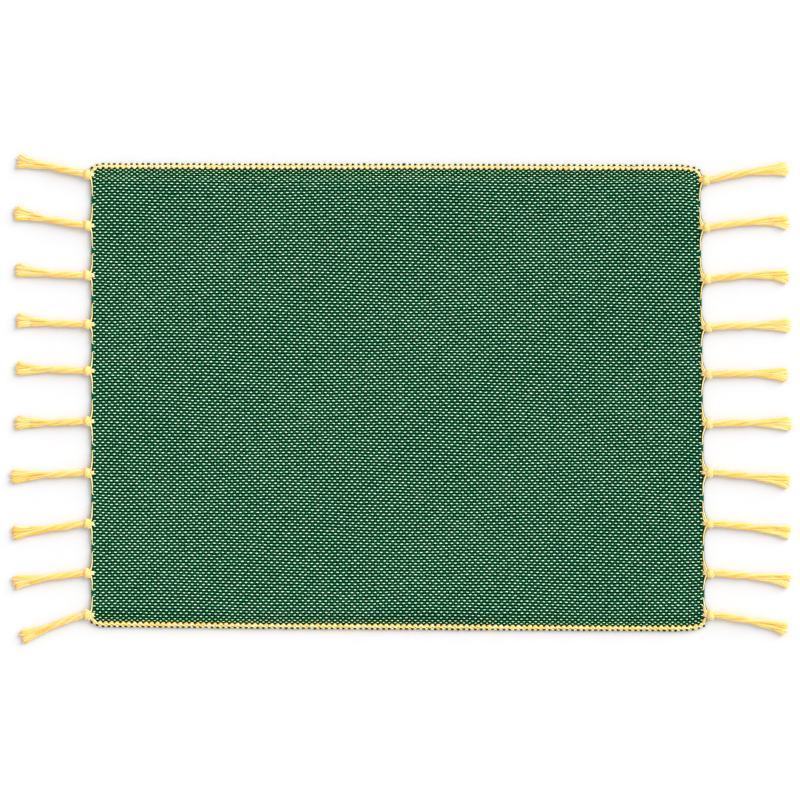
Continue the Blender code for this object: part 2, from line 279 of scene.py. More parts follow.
@dataclass(frozen=True)
class CottonYarn:
    """Matt plied cotton yarn.

    Its colour goes from pale to deep by the tone stored on each yarn and a soft mottling. From a
    tone of 1 to one of 2 it goes on to root, a painted shade for where a yarn dives under the next.
    The plies are ridges ply_pitch apart along the yarn, and fuzz is the depth of its fibres.
    """

    name: str
    pale: Color
    deep: Color
    # painted shade: the colour a yarn takes where it dives under the crossing yarn
    root: Color
    guide: PlyGuide
    ply_pitch: float
    ply_depth: float
    # painted shade: how much deeper the colour is in the grooves between plies
    groove_shade: float = 0.15
    mottle: float = 0.35
    mottle_scale: float = 130.0
    fuzz: float = 0.05 * MM
    fuzz_scale: float = 5200.0
    noise_detail: float = 2.0
    roughness: float = 0.88
    roughness_spread: float = 0.1
    sheen: float = 0.08
    sheen_roughness: float = 0.5
    specular: float = 0.2
    scatter: float = 0.0
    scatter_reach: float = 1.2 * MM
    plies_around: float = 3.0

    def ply_ridges(self, nodes: NodeBuilder) -> Signal:
        """Make the ridges that wind round the yarn.

        Args:
            nodes: The material's nodes.

        Returns:
            The ridges, from -1 in a groove to 1 on a ply.
        """
        pitch_turn = math.tau / self.ply_pitch
        if self.guide is PlyGuide.UV:
            along, around, _ = nodes.axes("UV")
            return (along * pitch_turn + around * (math.tau * self.plies_around)).sine()
        x, y, _ = nodes.axes("Object")
        along, across = (x, y) if self.guide is PlyGuide.ALONG_X else (y, x)
        return (along * pitch_turn + across * pitch_turn).sine()

    def build(self) -> bpy.types.Material:
        """Make the material.

        Returns:
            The material.
        """
        nodes = NodeBuilder(self.name)
        ridges = self.ply_ridges(nodes)
        patches = nodes.noise(self.mottle_scale, self.noise_detail)
        fibres = nodes.noise(self.fuzz_scale, self.noise_detail)
        # Painted shade: the colour is deeper in the ply grooves, and tones past 1 mix towards the painted
        # root shade.
        deepness = nodes.attribute("tone") + (patches - 0.5) * self.mottle - ridges * self.groove_shade
        color = nodes.blend_colors((*self.pale, 1.0), (*self.deep, 1.0), deepness.within(0.0, 1.0))
        color = nodes.blend_colors(color, (*self.root, 1.0), (deepness - 1.0).within(0.0, 1.0))
        height = ridges * self.ply_depth + (fibres - 0.5) * (2.0 * self.fuzz)
        bump = nodes.add("ShaderNodeBump", sockets={"Height": height, "Distance": 1.0, "Strength": 1.0})
        nodes.set_shader(
            Base_Color=color,
            Roughness=(fibres - 0.5) * self.roughness_spread + self.roughness,
            Normal=bump.outputs[0],
            Metallic=0.0,
            Specular_IOR_Level=self.specular,
            Subsurface_Weight=self.scatter,
            Subsurface_Radius=(1.0, 1.0, 1.0),
            Subsurface_Scale=self.scatter_reach,
            Sheen_Weight=self.sheen,
            Sheen_Roughness=self.sheen_roughness,
        )
        nodes.material.diffuse_color = (*self.pale, 1.0)
        return nodes.material


@dataclass(frozen=True)
class MatSurface:
    """A plain matt surface, such as the floor."""

    name: str
    color: Color
    roughness: float = 0.9
    specular: float = 0.1
    grain_scale: float = 60.0
    grain_detail: float = 3.0
    grain_shade: float = 0.97       # the grain's darkest colour, as a share of the lightest

    def build(self) -> bpy.types.Material:
        """Make the material.

        Returns:
            The material.
        """
        nodes = NodeBuilder(self.name)
        grain = nodes.noise(self.grain_scale, self.grain_detail)
        shade = tuple(self.grain_shade * part for part in self.color)
        nodes.set_shader(
            Base_Color=nodes.blend_colors((*self.color, 1.0), (*shade, 1.0), grain),
            Roughness=self.roughness,
            Specular_IOR_Level=self.specular,
        )
        return nodes.material


@dataclass(frozen=True)
class Finishes:
    """Every material of the mat and its floor."""

    # Each yarn's third colour, its root, is painted shade: dark green for the weft, orange crease shade
    # for the cords and tassels, and for the warp a green that also paints the light thrown on it by the
    # green weft.
    weft: CottonYarn = CottonYarn(
        "green weft cotton", (0.0010, 0.138, 0.058), (0.0005, 0.072, 0.031), (0.0004, 0.026, 0.013),
        PlyGuide.ALONG_Y, 0.9 * MM, 0.05 * MM, mottle=0.25, sheen=0.0, specular=0.02)
    warp: CottonYarn = CottonYarn(
        "pale warp cotton", (1.0, 1.0, 0.90), (0.62, 0.92, 0.33), (0.003, 0.38, 0.14),
        PlyGuide.ALONG_X, 0.7 * MM, 0.02 * MM, groove_shade=0.05, mottle=0.2, fuzz=0.02 * MM)
    cord: CottonYarn = CottonYarn(
        "yellow selvage cotton", (0.97, 0.86, 0.54), (0.97, 0.62, 0.15), (0.80, 0.45, 0.08),
        PlyGuide.ALONG_X, 0.9 * MM, 0.06 * MM, mottle=0.8, mottle_scale=320.0, scatter=0.4)
    tassel: CottonYarn = CottonYarn(
        "yellow tassel cotton", (1.0, 0.68, 0.29), (1.0, 0.55, 0.10), (0.92, 0.40, 0.02),
        PlyGuide.UV, 2.4 * MM, 0.03 * MM, scatter=0.5, scatter_reach=1.0 * MM)
    green_cord: CottonYarn = CottonYarn(
        "green edge cotton", (0.0010, 0.130, 0.060), (0.0005, 0.050, 0.024), (0.0004, 0.018, 0.009),
        PlyGuide.UV, 2.0 * MM, 0.05 * MM, sheen=0.0, specular=0.02)
    # Painted shade: the core's dark greens stand for the shadows in the gaps between the yarns.
    core: CottonYarn = CottonYarn(
        "shaded green cotton", (0.0005, 0.028, 0.014), (0.0004, 0.018, 0.009), (0.0004, 0.018, 0.009),
        PlyGuide.ALONG_Y, 1.0 * MM, 0.04 * MM, sheen=0.0, specular=0.02)
    floor: MatSurface = MatSurface("white floor", (0.68, 0.68, 0.687))


# --------------------------------------------------------------------------------------------
# Helpers for meshes
# --------------------------------------------------------------------------------------------


def link_mesh(name: str, mesh: bpy.types.Mesh, material: bpy.types.Material) -> bpy.types.Object:
    """Make an object at the origin from a finished mesh.

    Args:
        name: The object's name.
        mesh: The mesh, in place.
        material: Its only material.

    Returns:
        The object.
    """
    mesh.materials.clear()
    mesh.materials.append(material)
    made = bpy.data.objects.new(name, mesh)
    bpy.context.scene.collection.objects.link(made)
    return made


def finish_bmesh(name: str, shape: bmesh.types.BMesh) -> bpy.types.Mesh:
    """Turn a bmesh into a smooth-shaded mesh and free it.

    Args:
        name: The mesh's name.
        shape: The bmesh, which is used up.

    Returns:
        The mesh.
    """
    for face in shape.faces:
        face.smooth = True
    mesh = bpy.data.meshes.new(name)
    shape.to_mesh(mesh)
    shape.free()
    return mesh


def store_tone(mesh: bpy.types.Mesh, tones: np.ndarray) -> None:
    """Store the tone of each vertex, from 0, pale, over 1, deep, to 2, the shaded root."""
    attribute = mesh.attributes.new("tone", "FLOAT", "POINT")
    attribute.data.foreach_set("value", tones.astype(np.float32).ravel())


def join_copies(name: str, template: bpy.types.Mesh, count: int) -> bpy.types.Mesh:
    """Join many copies of a small mesh with an Array modifier, all in one place.

    Args:
        name: The joined mesh's name.
        template: The mesh to copy.
        count: How many copies.

    Returns:
        The joined mesh, copy after copy.
    """
    holder = bpy.data.objects.new(name, template)
    bpy.context.scene.collection.objects.link(holder)
    array = holder.modifiers.new("copies", "ARRAY")
    array.count = count
    array.use_relative_offset = False
    evaluated = holder.evaluated_get(bpy.context.evaluated_depsgraph_get())
    joined = bpy.data.meshes.new_from_object(evaluated)
    joined.name = name
    bpy.data.objects.remove(holder, do_unlink=True)
    return joined


@dataclass
class Copies:
    """Places for many copies of one small shape.

    centres holds a point for each copy. turn is each copy's angle about Z in radians, stretch its
    size along the shape's own X, Y and Z, and tone its depth of colour, to which foot_shade_tone, a
    painted shade, is added at the shape's foot.
    """

    centres: np.ndarray
    turn: np.ndarray
    stretch: np.ndarray
    tone: np.ndarray
    foot_shade_tone: float = 0.0

    def build(self, name: str, template: bpy.types.Mesh, material: bpy.types.Material) -> bpy.types.Object:
        """Join the copies into one object.

        Args:
            name: The object's name.
            template: The shape that is copied, about its own origin.
            material: The material of all of them.

        Returns:
            The object.
        """
        count = len(self.centres)
        own = np.empty(3 * len(template.vertices))
        template.vertices.foreach_get("co", own)
        local = own.reshape(1, -1, 3) * self.stretch[:, None, :]
        cosine, sine = np.cos(self.turn)[:, None], np.sin(self.turn)[:, None]
        turned = np.empty_like(local)
        turned[..., 0] = local[..., 0] * cosine - local[..., 1] * sine
        turned[..., 1] = local[..., 0] * sine + local[..., 1] * cosine
        turned[..., 2] = local[..., 2]
        mesh = join_copies(name, template, count)
        mesh.vertices.foreach_set("co", (turned + self.centres[:, None, :]).ravel())
        # Painted shade: the tone deepens towards the foot, where the yarn dives under the next.
        depth = np.abs(own[2::3]) / np.abs(own[2::3]).max()
        store_tone(mesh, self.tone[:, None] + self.foot_shade_tone * depth[None, :])
        mesh.update()
        return link_mesh(name, mesh, material)


class YarnMesh:
    """Yarns swept along routes and collected in one mesh, each a tube with closed ends."""

    sides: int = 8
    wrap_steps: int = 22        # cross-sections round a wrap
    ball_segments: int = 16     # round a ball
    ball_rings: int = 9         # from pole to pole

    def __init__(self) -> None:
        """Start an empty mesh."""
        self.shape = bmesh.new()
        layers = self.shape.verts.layers.float
        self.tone = layers.new("tone")
        self.along = layers.new("along")
        self.around = layers.new("around")

    def start_ring(self, radius: float, tone: float, filled: bool) -> list[bmesh.types.BMVert]:
        """Make a cross-section of yarn, with its tone and each vertex's share of the way round.

        Args:
            radius: Its radius.
            tone: Its depth of colour.
            filled: Whether it has a face.

        Returns:
            Its vertices.
        """
        ring = bmesh.ops.create_circle(
            self.shape, cap_ends=filled, segments=self.sides, radius=radius)["verts"]
        for index, vert in enumerate(ring):
            vert[self.around] = index / self.sides
            vert[self.tone] = tone
        return ring

    def place_ring(
        self, verts: Iterable[bmesh.types.BMVert], matrix: Matrix, radius: float, along: float,
    ) -> None:
        """Lay a ring of vertices in the XY plane of a matrix.

        Args:
            verts: The ring's vertices, each with its share of the way round stored on it.
            matrix: The ring's place, with the yarn running along its Z.
            radius: The ring's radius.
            along: The length of yarn up to this ring.
        """
        for vert in verts:
            angle = math.tau * vert[self.around]
            vert.co = matrix @ Vector((radius * math.cos(angle), radius * math.sin(angle), 0.0))
            vert[self.along] = along

    def sweep(self, route: Sequence[Vector], radii: Sequence[float], tone: float) -> None:
        """Add one yarn.

        Args:
            route: The points of its middle line.
            radii: Its radius at each of them.
            tone: Its depth of colour.
        """
        end_face = self.start_ring(1.0, tone, filled=True)[0].link_faces[0]
        turn = Matrix.Identity(3)
        heading = Vector((0.0, 0.0, 1.0))
        along = 0.0
        for index, point in enumerate(route):
            before = route[max(index - 1, 0)]
            after = route[min(index + 1, len(route) - 1)]
            tangent = (after - before).normalized()
            turn = heading.rotation_difference(tangent).to_matrix() @ turn
            heading = tangent
            if index > 0:
                along += (point - before).length
                grown = bmesh.ops.extrude_face_region(self.shape, geom=[end_face])["geom"]
                if index > 1:
                    bmesh.ops.delete(self.shape, geom=[end_face], context="FACES_ONLY")
                end_face = next(item for item in grown if isinstance(item, bmesh.types.BMFace))
            matrix = Matrix.Translation(point) @ turn.to_4x4()
            self.place_ring(end_face.verts, matrix, radii[index], along)

    def ring_wrap(self, matrix: Matrix, reach: float, flatness: float, radius: float, tone: float) -> None:
        """Add one closed wrap of yarn round the X axis of a matrix.

        Args:
            matrix: The wrap's place.
            reach: From its middle to the middle of the yarn, along Y.
            flatness: Its height for each unit of width.
            radius: The yarn's radius.
            tone: Its depth of colour.
        """
        ring = self.start_ring(radius, tone, filled=False)
        for vert in ring:
            vert.co = Vector((vert.co.x, vert.co.y + reach, 0.0))
        edges = dict.fromkeys(edge for vert in ring for edge in vert.link_edges)
        bmesh.ops.spin(
            self.shape, geom=[*ring, *edges], angle=math.tau, steps=self.wrap_steps,
            axis=(1.0, 0.0, 0.0), cent=(0.0, 0.0, 0.0), use_merge=True, use_duplicate=False)
        verts = set(ring)
        fresh = set(ring)
        while fresh:
            fresh = {edge.other_vert(vert) for vert in fresh for edge in vert.link_edges} - verts
            verts |= fresh
        for vert in verts:
            vert[self.along] = reach * (math.atan2(vert.co.z, vert.co.y) + math.pi)
            vert.co = matrix @ Vector((vert.co.x, vert.co.y, vert.co.z * flatness))

    def ball(self, matrix: Matrix, radii: Sequence[float], tone: float) -> None:
        """Add a rounded mass of yarn.

        Args:
            matrix: Its place.
            radii: Its radius along each axis of the matrix.
            tone: Its depth of colour.
        """
        size = Matrix.Diagonal((*radii, 1.0))
        made = bmesh.ops.create_uvsphere(
            self.shape, u_segments=self.ball_segments, v_segments=self.ball_rings, radius=1.0, matrix=size)
        for vert in made["verts"]:
            vert[self.around] = math.atan2(vert.co.z, vert.co.y) / math.tau % 1.0
            vert[self.along] = vert.co.x
            vert[self.tone] = tone
            vert.co = matrix @ vert.co

    def build(self, name: str, material: bpy.types.Material) -> bpy.types.Object:
        """Finish the mesh, with a UV map of metres along and share of the way round.

        Args:
            name: The object's name.
            material: Its only material.

        Returns:
            The object.
        """
        shape = self.shape
        bmesh.ops.recalc_face_normals(shape, faces=list(shape.faces))
        uv_layer = shape.loops.layers.uv.new("UVMap")
        one_side = 1.0 / self.sides
        for face in shape.faces:
            # A face on the seam runs from the last vertex round to the first, which is 1 there.
            seam = max(vert[self.around] for vert in face.verts) > 1.0 - 1.5 * one_side
            for loop in face.loops:
                around = loop.vert[self.around]
                if seam and around < 0.5 * one_side:
                    around = 1.0
                loop[uv_layer].uv = (loop.vert[self.along], around)
        return link_mesh(name, finish_bmesh(name, shape), material)


# --------------------------------------------------------------------------------------------
# The cloth in plan
# --------------------------------------------------------------------------------------------


@dataclass(frozen=True)
class Edge:
    """A gently bowed edge line, as its coordinate at either end and its swell halfway."""

    start: float
    end: float
    bow: float

    def at(self, share: Numbers) -> Numbers:
        """Return the coordinate at a share of the edge's length."""
        return self.start + (self.end - self.start) * share + self.bow * 4.0 * share * (1.0 - share)


@dataclass(frozen=True)
class TasselPlace:
    """Where one tassel lies, in millimetres.

    knot_y is its knot's place along the end edge, tip_x and tip_y the middle of its cut end, and
    bow how far its middle bows towards +Y.
    """

    number: int
    knot_y: float
    tip_x: float
    tip_y: float
    bow: float


TASSELS = {
    End.LEFT: tuple(TasselPlace(*row) for row in (
        (1, 157.2, -270.9, 166.9, 0.7),
        (2, 120.9, -273.0, 130.3, -0.3),
        (3, 85.6, -271.6, 89.8, -0.9),
        (4, 50.9, -271.6, 53.6, -0.4),
        (5, 17.9, -271.6, 19.2, 0.2),
        (6, -17.9, -272.3, -18.5, -0.9),
        (7, -54.5, -275.1, -57.5, 0.0),
        (8, -90.5, -274.4, -97.3, -0.5),
        (9, -125.6, -273.7, -132.4, 0.0),
        (10, -155.2, -268.0, -172.0, 0.2),
    )),
    End.RIGHT: tuple(TasselPlace(*row) for row in (
        (1, 153.1, 277.6, 161.2, 1.4),
        (2, 119.6, 278.3, 123.5, 1.8),
        (3, 82.7, 278.3, 84.5, 2.1),
        (4, 48.7, 279.7, 49.7, 0.9),
        (5, 15.6, 277.6, 15.2, 0.6),
        (6, -19.7, 280.5, -19.5, 0.4),
        (7, -54.2, 279.0, -61.0, 0.4),
        (8, -90.5, 279.7, -97.2, 0.6),
        (9, -125.6, 279.7, -131.4, 0.5),
        (10, -155.2, 277.6, -165.6, 0.7),
    )),
}


@dataclass(frozen=True)
class Ripple:
    """One slow wave in the lie of the yarns, in millimetres and radians."""

    swing: float
    length_x: float
    length_y: float
    phase: float

    def at(self, x: Numbers, y: Numbers) -> Numbers:
        """Return its drift, in metres, at a place."""
        turn = math.tau / MM
        return self.swing * MM * np.sin(turn * (x / self.length_x + y / self.length_y) + self.phase)


@dataclass(frozen=True)
class ClothPlan:
    """The cloth seen from above: its outline, and where each pick crosses each row of warp.

    A place in it is given as two shares, along from the left end to the right one, and across
    from the bottom edge to the top one.
    """

    left: Edge = Edge(-217.5 * MM, -217.5 * MM, 0.1 * MM)
    right: Edge = Edge(218.2 * MM, 214.7 * MM, 0.4 * MM)
    bottom: Edge = Edge(-163.7 * MM, -166.8 * MM, -0.4 * MM)
    top: Edge = Edge(165.0 * MM, 163.9 * MM, 0.1 * MM)
    corner_sizes: dict[End, tuple[float, float]] = one_each(    # of a corner's curve, along X and Y
        End, (9.5 * MM, 5.1 * MM), (18.0 * MM, 5.0 * MM))
    corner_fade: float = 13.0 * MM      # the corner's curve dies away over this much cloth
    knot_pull: dict[End, float] = one_each(End, 0.2 * MM, 1.3 * MM)     # of the end edge, outwards
    pull_fade: float = 3.0 * MM         # how far in from the edge that dies away
    calm_margin: float = 14.0 * MM      # yarns lie straight this close to an edge
    first_pick: float = 2.5 * MM        # from an end edge to the middle of the first full pick
    pick_pitch: float = 2.02 * MM
    row_pitch: float = 2.06 * MM
    selvage_rows: tuple[float, ...] = (0.65 * MM, 1.50 * MM, 2.35 * MM)     # in from a long edge
    first_row: float = 3.45 * MM        # in from a long edge to the first row of the open weave
    # Gaps between the first rows of the open weave, which are packed closer than the rest.
    bottom_gaps: tuple[float, ...] = (1.3 * MM, 1.4 * MM, 1.8 * MM)
    top_gaps: tuple[float, ...] = (
        1.35 * MM, 1.35 * MM, 1.5 * MM, 1.6 * MM, 1.5 * MM, 1.4 * MM, 1.95 * MM, 1.95 * MM)
    ripples_x: tuple[Ripple, ...] = (
        Ripple(0.5, 210.0, 140.0, 0.4), Ripple(0.14, -70.0, 54.0, 2.1), Ripple(0.04, 23.0, -31.0, 4.0))
    ripples_y: tuple[Ripple, ...] = (
        Ripple(0.6, 230.0, -160.0, 1.0), Ripple(0.16, 81.0, 60.0, 3.2), Ripple(0.05, -29.0, 26.0, 5.1))

    def edge_x(self, end: End, y: Numbers) -> Numbers:
        """Find an end edge, as if no knot drew it out.

        Args:
            end: The end.
            y: Where along the edge.

        Returns:
            The edge's x there.
        """
        low, high = self.bottom.at(end.share), self.top.at(end.share)
        share = np.clip((y - low) / (high - low), 0.0, 1.0)
        edge = self.left if end is End.LEFT else self.right
        return edge.at(share)

    def width(self) -> float:
        """Return the distance between the long edges halfway along."""
        return self.top.at(0.5) - self.bottom.at(0.5)

    def length(self) -> float:
        """Return the distance between the end edges halfway up."""
        return self.edge_x(End.RIGHT, 0.0) - self.edge_x(End.LEFT, 0.0)

    def corner_inset(self, end: End, from_end: Numbers) -> Numbers:
        """Find how far a rounded corner draws a long edge in.

        Args:
            end: The corner's end.
            from_end: The distance from that end's edge.

        Returns:
            How far in the long edge lies there.
        """
        length, depth = self.corner_sizes[end]
        missing = np.clip(1.0 - from_end / length, 0.0, 1.0)
        return depth * (1.0 - np.sqrt(1.0 - missing**2))

    def point(self, along: Numbers, across: Numbers) -> tuple[Numbers, Numbers]:
        """Find a place in the cloth.

        Args:
            along: The share along the cloth.
            across: The share across it.

        Returns:
            x and y, with the rounded corners and the yarns' drift.
        """
        low, high = self.bottom.at(along), self.top.at(along)
        y = low + (high - low) * across
        left_x, right_x = self.edge_x(End.LEFT, y), self.edge_x(End.RIGHT, y)
        x = left_x + (right_x - left_x) * along
        from_end = np.minimum(x - left_x, right_x - x)
        inset = self.corner_inset(End.LEFT, x - left_x) + self.corner_inset(End.RIGHT, right_x - x)
        from_low, from_high = y - low, high - y
        nearest = np.minimum(np.minimum(from_low, from_high), from_end)
        calm = np.clip(nearest / self.calm_margin, 0.0, 1.0)
        drift_x = sum(ripple.at(x, y) for ripple in self.ripples_x) * calm
        drift_y = sum(ripple.at(x, y) for ripple in self.ripples_y) * calm
        bend = inset * (np.exp(-from_low / self.corner_fade) - np.exp(-from_high / self.corner_fade))
        drawn = sum(
            end.value * self.knot_pull[end] * self.pull(end, y) ** 2
            * np.exp(-np.abs(self.edge_x(end, y) - x) / self.pull_fade)
            for end in End)
        return x + drift_x + drawn, y + bend + drift_y

    def pick_shares(self) -> np.ndarray:
        """Space the full picks of weft.

        Returns:
            Their shares along, from the left end.
        """
        span = self.length() - 2.0 * self.first_pick
        count = round(span / self.pick_pitch) + 1
        return (self.first_pick + np.linspace(0.0, span, count)) / self.length()

    def row_offsets(self) -> np.ndarray:
        """Space the rows of warp between the corded bands.

        Returns:
            Their distances from the bottom edge, halfway along.
        """
        low = np.cumsum([self.first_row, *self.bottom_gaps])
        high = self.width() - np.cumsum([self.first_row, *self.top_gaps])[::-1]
        span = high[0] - low[-1]
        steps = round(span / self.row_pitch)
        middle = low[-1] + span * np.arange(1, steps) / steps
        return np.concatenate([low, middle, high])

    def knots(self, end: End) -> list[float]:
        """Return the y of each knot of one end, from the lowest to the highest."""
        return sorted(place.knot_y * MM for place in TASSELS[end])

    def pull(self, end: End, y: Numbers) -> Numbers:
        """Find how near a place on an end edge is to a knot.

        Args:
            end: The end of the cloth.
            y: Where along its edge.

        Returns:
            0 halfway between two knots, 1 at one.
        """
        knots = self.knots(end)
        before_first = 2.0 * self.bottom.at(end.share) - knots[0]
        after_last = 2.0 * self.top.at(end.share) - knots[-1]
        stops = [before_first, *knots, after_last]
        return np.cos(math.pi * np.interp(y, stops, np.arange(len(stops)))) ** 2


# --------------------------------------------------------------------------------------------
# The weave
# --------------------------------------------------------------------------------------------


@dataclass(frozen=True)
class FloatShape:
    """The hump of one yarn where it passes over the yarn that crosses it.

    length and width are those of its foot, which lies rise below its crown. It has so many sides
    and keeps flat_share of its outline at the crown. With a flat_share of 0 it comes to a point.
    With a mid_share it also has a shoulder, which keeps that much of its outline, mid_rise up.
    """

    length: float
    width: float
    rise: float
    sides: int = 6
    flat_share: float = 0.0
    mid_share: float = 0.0
    mid_rise: float = 0.0

    def mesh(self, system: YarnSystem, face: Face) -> bpy.types.Mesh:
        """Build the hump about its crown.

        Args:
            system: Warp, which lies along X, or weft, along Y.
            face: The face of the cloth that it rises from.

        Returns:
            The hump's mesh.
        """
        shape = bmesh.new()
        bmesh.ops.create_circle(shape, cap_ends=True, segments=self.sides, radius=0.5)
        if self.mid_share > 0.0:
            self.shrink_top(shape, self.mid_share, self.mid_rise)
        if self.flat_share > 0.0:
            self.shrink_top(shape, self.flat_share, self.rise)
        else:
            bmesh.ops.poke(shape, faces=list(shape.faces), offset=self.rise)
        size = Matrix.Diagonal((self.width, self.length, 1.0, 1.0))
        lower = Matrix.Translation((0.0, 0.0, -self.rise))
        quarter = math.radians(90.0 if system is YarnSystem.WARP else 0.0)
        over = math.radians(0.0 if face is Face.UPPER else 180.0)
        place = Matrix.Rotation(over, 4, "X") @ Matrix.Rotation(quarter, 4, "Z") @ lower @ size
        bmesh.ops.transform(shape, matrix=place, verts=list(shape.verts))
        bmesh.ops.recalc_face_normals(shape, faces=list(shape.faces))
        if sum(found.normal.z * face.value for found in shape.faces) < 0.0:
            bmesh.ops.reverse_faces(shape, faces=list(shape.faces))
        return finish_bmesh("hump", shape)

    @staticmethod
    def shrink_top(shape: bmesh.types.BMesh, share: float, height: float) -> None:
        """Inset the top face of a hump and lift it.

        Args:
            shape: The hump so far.
            share: The share of the outline.
            height: The height over its foot.
        """
        top = max(shape.faces, key=lambda found: found.calc_center_median().z)
        # Any small inset will do, because its vertices are placed next.
        bmesh.ops.inset_individual(shape, faces=[top], thickness=0.01, use_even_offset=True)
        for vert in top.verts:
            angle = math.atan2(vert.co.y, vert.co.x)
            vert.co = Vector((0.5 * share * math.cos(angle), 0.5 * share * math.sin(angle), height))


@dataclass
class Weave:
    """The open plain weave: humps of warp and weft on both faces of the cloth."""

    plan: ClothPlan
    finishes: dict[YarnSystem, bpy.types.Material]
    upper_crown: dict[YarnSystem, float] = one_each(YarnSystem, 2.38 * MM, 2.30 * MM)
    under_crown: dict[YarnSystem, float] = one_each(YarnSystem, 0.05 * MM, 0.02 * MM)
    upper_shape: dict[YarnSystem, FloatShape] = one_each(
        YarnSystem,
        FloatShape(2.64 * MM, 0.91 * MM, 0.9 * MM, flat_share=0.60),
        FloatShape(1.65 * MM, 2.50 * MM, 0.85 * MM, flat_share=0.52))
    under_shape: dict[YarnSystem, FloatShape] = one_each(
        YarnSystem,
        FloatShape(2.9 * MM, 1.7 * MM, 0.8 * MM, sides=5),
        FloatShape(2.4 * MM, 3.0 * MM, 0.8 * MM, sides=4))
    seed: int = 11
    size_spread: float = 0.07
    size_limit: float = 0.25        # the most that a hump's size departs from the usual one
    turn_spread: float = 0.07       # radians
    place_spread: float = 0.07 * MM
    height_spread: float = 0.05 * MM
    tone_middle: float = 0.20
    tone_spread: float = 0.13
    edge_tone: dict[YarnSystem, float] = one_each(YarnSystem, 0.75, 1.3)    # deeper in the dense edge rows
    edge_shrink: float = 0.22       # how much shorter the humps are there
    edge_reach: float = 13.0 * MM   # how far in from a long edge that goes
    # painted shade: the weft next to the corded band dives into shade
    first_shade_tone: float = 1.6         # how much deeper still the weft is next to the corded band
    first_drop: float = 0.40 * MM   # and how much lower
    first_margin: float = 0.1 * MM  # a row this little farther in than the first one counts as it
    crowding: dict[YarnSystem, float] = one_each(YarnSystem, 0.35, 0.7)     # how a width follows the gaps
    # Painted shade at the foot of each hump.
    foot_shade_tone: dict[YarnSystem, float] = one_each(YarnSystem, 3.6, 1.5)
    bands: int = 2                  # pieces that each yarn's upper humps are split into

    def build(self) -> list[bpy.types.Object]:
        """Build the weave's pieces.

        Returns:
            The pieces, warp before weft and upper before under.
        """
        made = []
        draws = np.random.default_rng(self.seed)
        for system in YarnSystem:
            for face in (Face.UPPER, Face.UNDER):
                bands = self.bands if face is Face.UPPER else 1
                picks = np.array_split(np.arange(len(self.plan.pick_shares())), bands)
                for number, band in enumerate(picks, start=1):
                    name = f"{system.name}_{face.name}_{number}".lower()
                    made.append(self.build_band(name, system, face, band, draws))
        return made

    def build_band(
        self, name: str, system: YarnSystem, face: Face, picks: np.ndarray, draws: np.random.Generator,
    ) -> bpy.types.Object:
        """Build the humps of one yarn on one face over some of the picks.

        Args:
            name: The piece's name.
            system: Warp or weft.
            face: The face of the cloth.
            picks: The numbers of the picks.
            draws: The source of random numbers.

        Returns:
            The piece.
        """
        rows = self.plan.row_offsets()
        grids = np.meshgrid(picks, np.arange(len(rows)), indexing="ij")
        pick_grid, row_grid = (grid.ravel() for grid in grids)
        warp_on_top = (pick_grid + row_grid) % 2 == 0
        wanted = warp_on_top == ((system is YarnSystem.WARP) == (face is Face.UPPER))
        pick_grid, row_grid = pick_grid[wanted], row_grid[wanted]
        count = len(pick_grid)
        along = self.plan.pick_shares()[pick_grid]
        x, y = self.plan.point(along, rows[row_grid] / self.plan.width())
        crown = (self.upper_crown if face is Face.UPPER else self.under_crown)[system]
        z = crown + draws.normal(0.0, self.height_spread, count) * (face is Face.UPPER)
        spread = draws.normal(0.0, self.place_spread, (2, count))
        gaps = (np.gradient(rows)[row_grid] / self.plan.row_pitch) ** self.crowding[system]
        sizes = draws.normal(0.0, self.size_spread, (3, count)).clip(-self.size_limit, self.size_limit)
        length, width, height = 1.0 + sizes
        from_edge = np.minimum(rows, self.plan.width() - rows)[row_grid]
        edge_share = np.clip(1.0 - from_edge / self.edge_reach, 0.0, 1.0)
        length *= 1.0 - self.edge_shrink * edge_share
        tone = self.tone_middle + draws.normal(0.0, self.tone_spread, count)
        tone += self.edge_tone[system] * edge_share
        beside_band = from_edge < self.plan.first_row + self.first_margin
        # Painted shade: the weft next to the corded band is deeper, as it dives into shade.
        if system is YarnSystem.WEFT:
            tone += self.first_shade_tone * beside_band
        z -= self.first_drop * beside_band * face.value
        copies = Copies(
            centres=np.stack([x + spread[0], y + spread[1] * gaps, z], axis=1),
            turn=draws.normal(0.0, self.turn_spread, count),
            stretch=np.stack([length, width * gaps, height], axis=1),
            tone=tone.clip(0.0, 2.0),
            foot_shade_tone=self.foot_shade_tone[system],
        )
        shape = (self.upper_shape if face is Face.UPPER else self.under_shape)[system]
        return copies.build(name, shape.mesh(system, face), self.finishes[system])


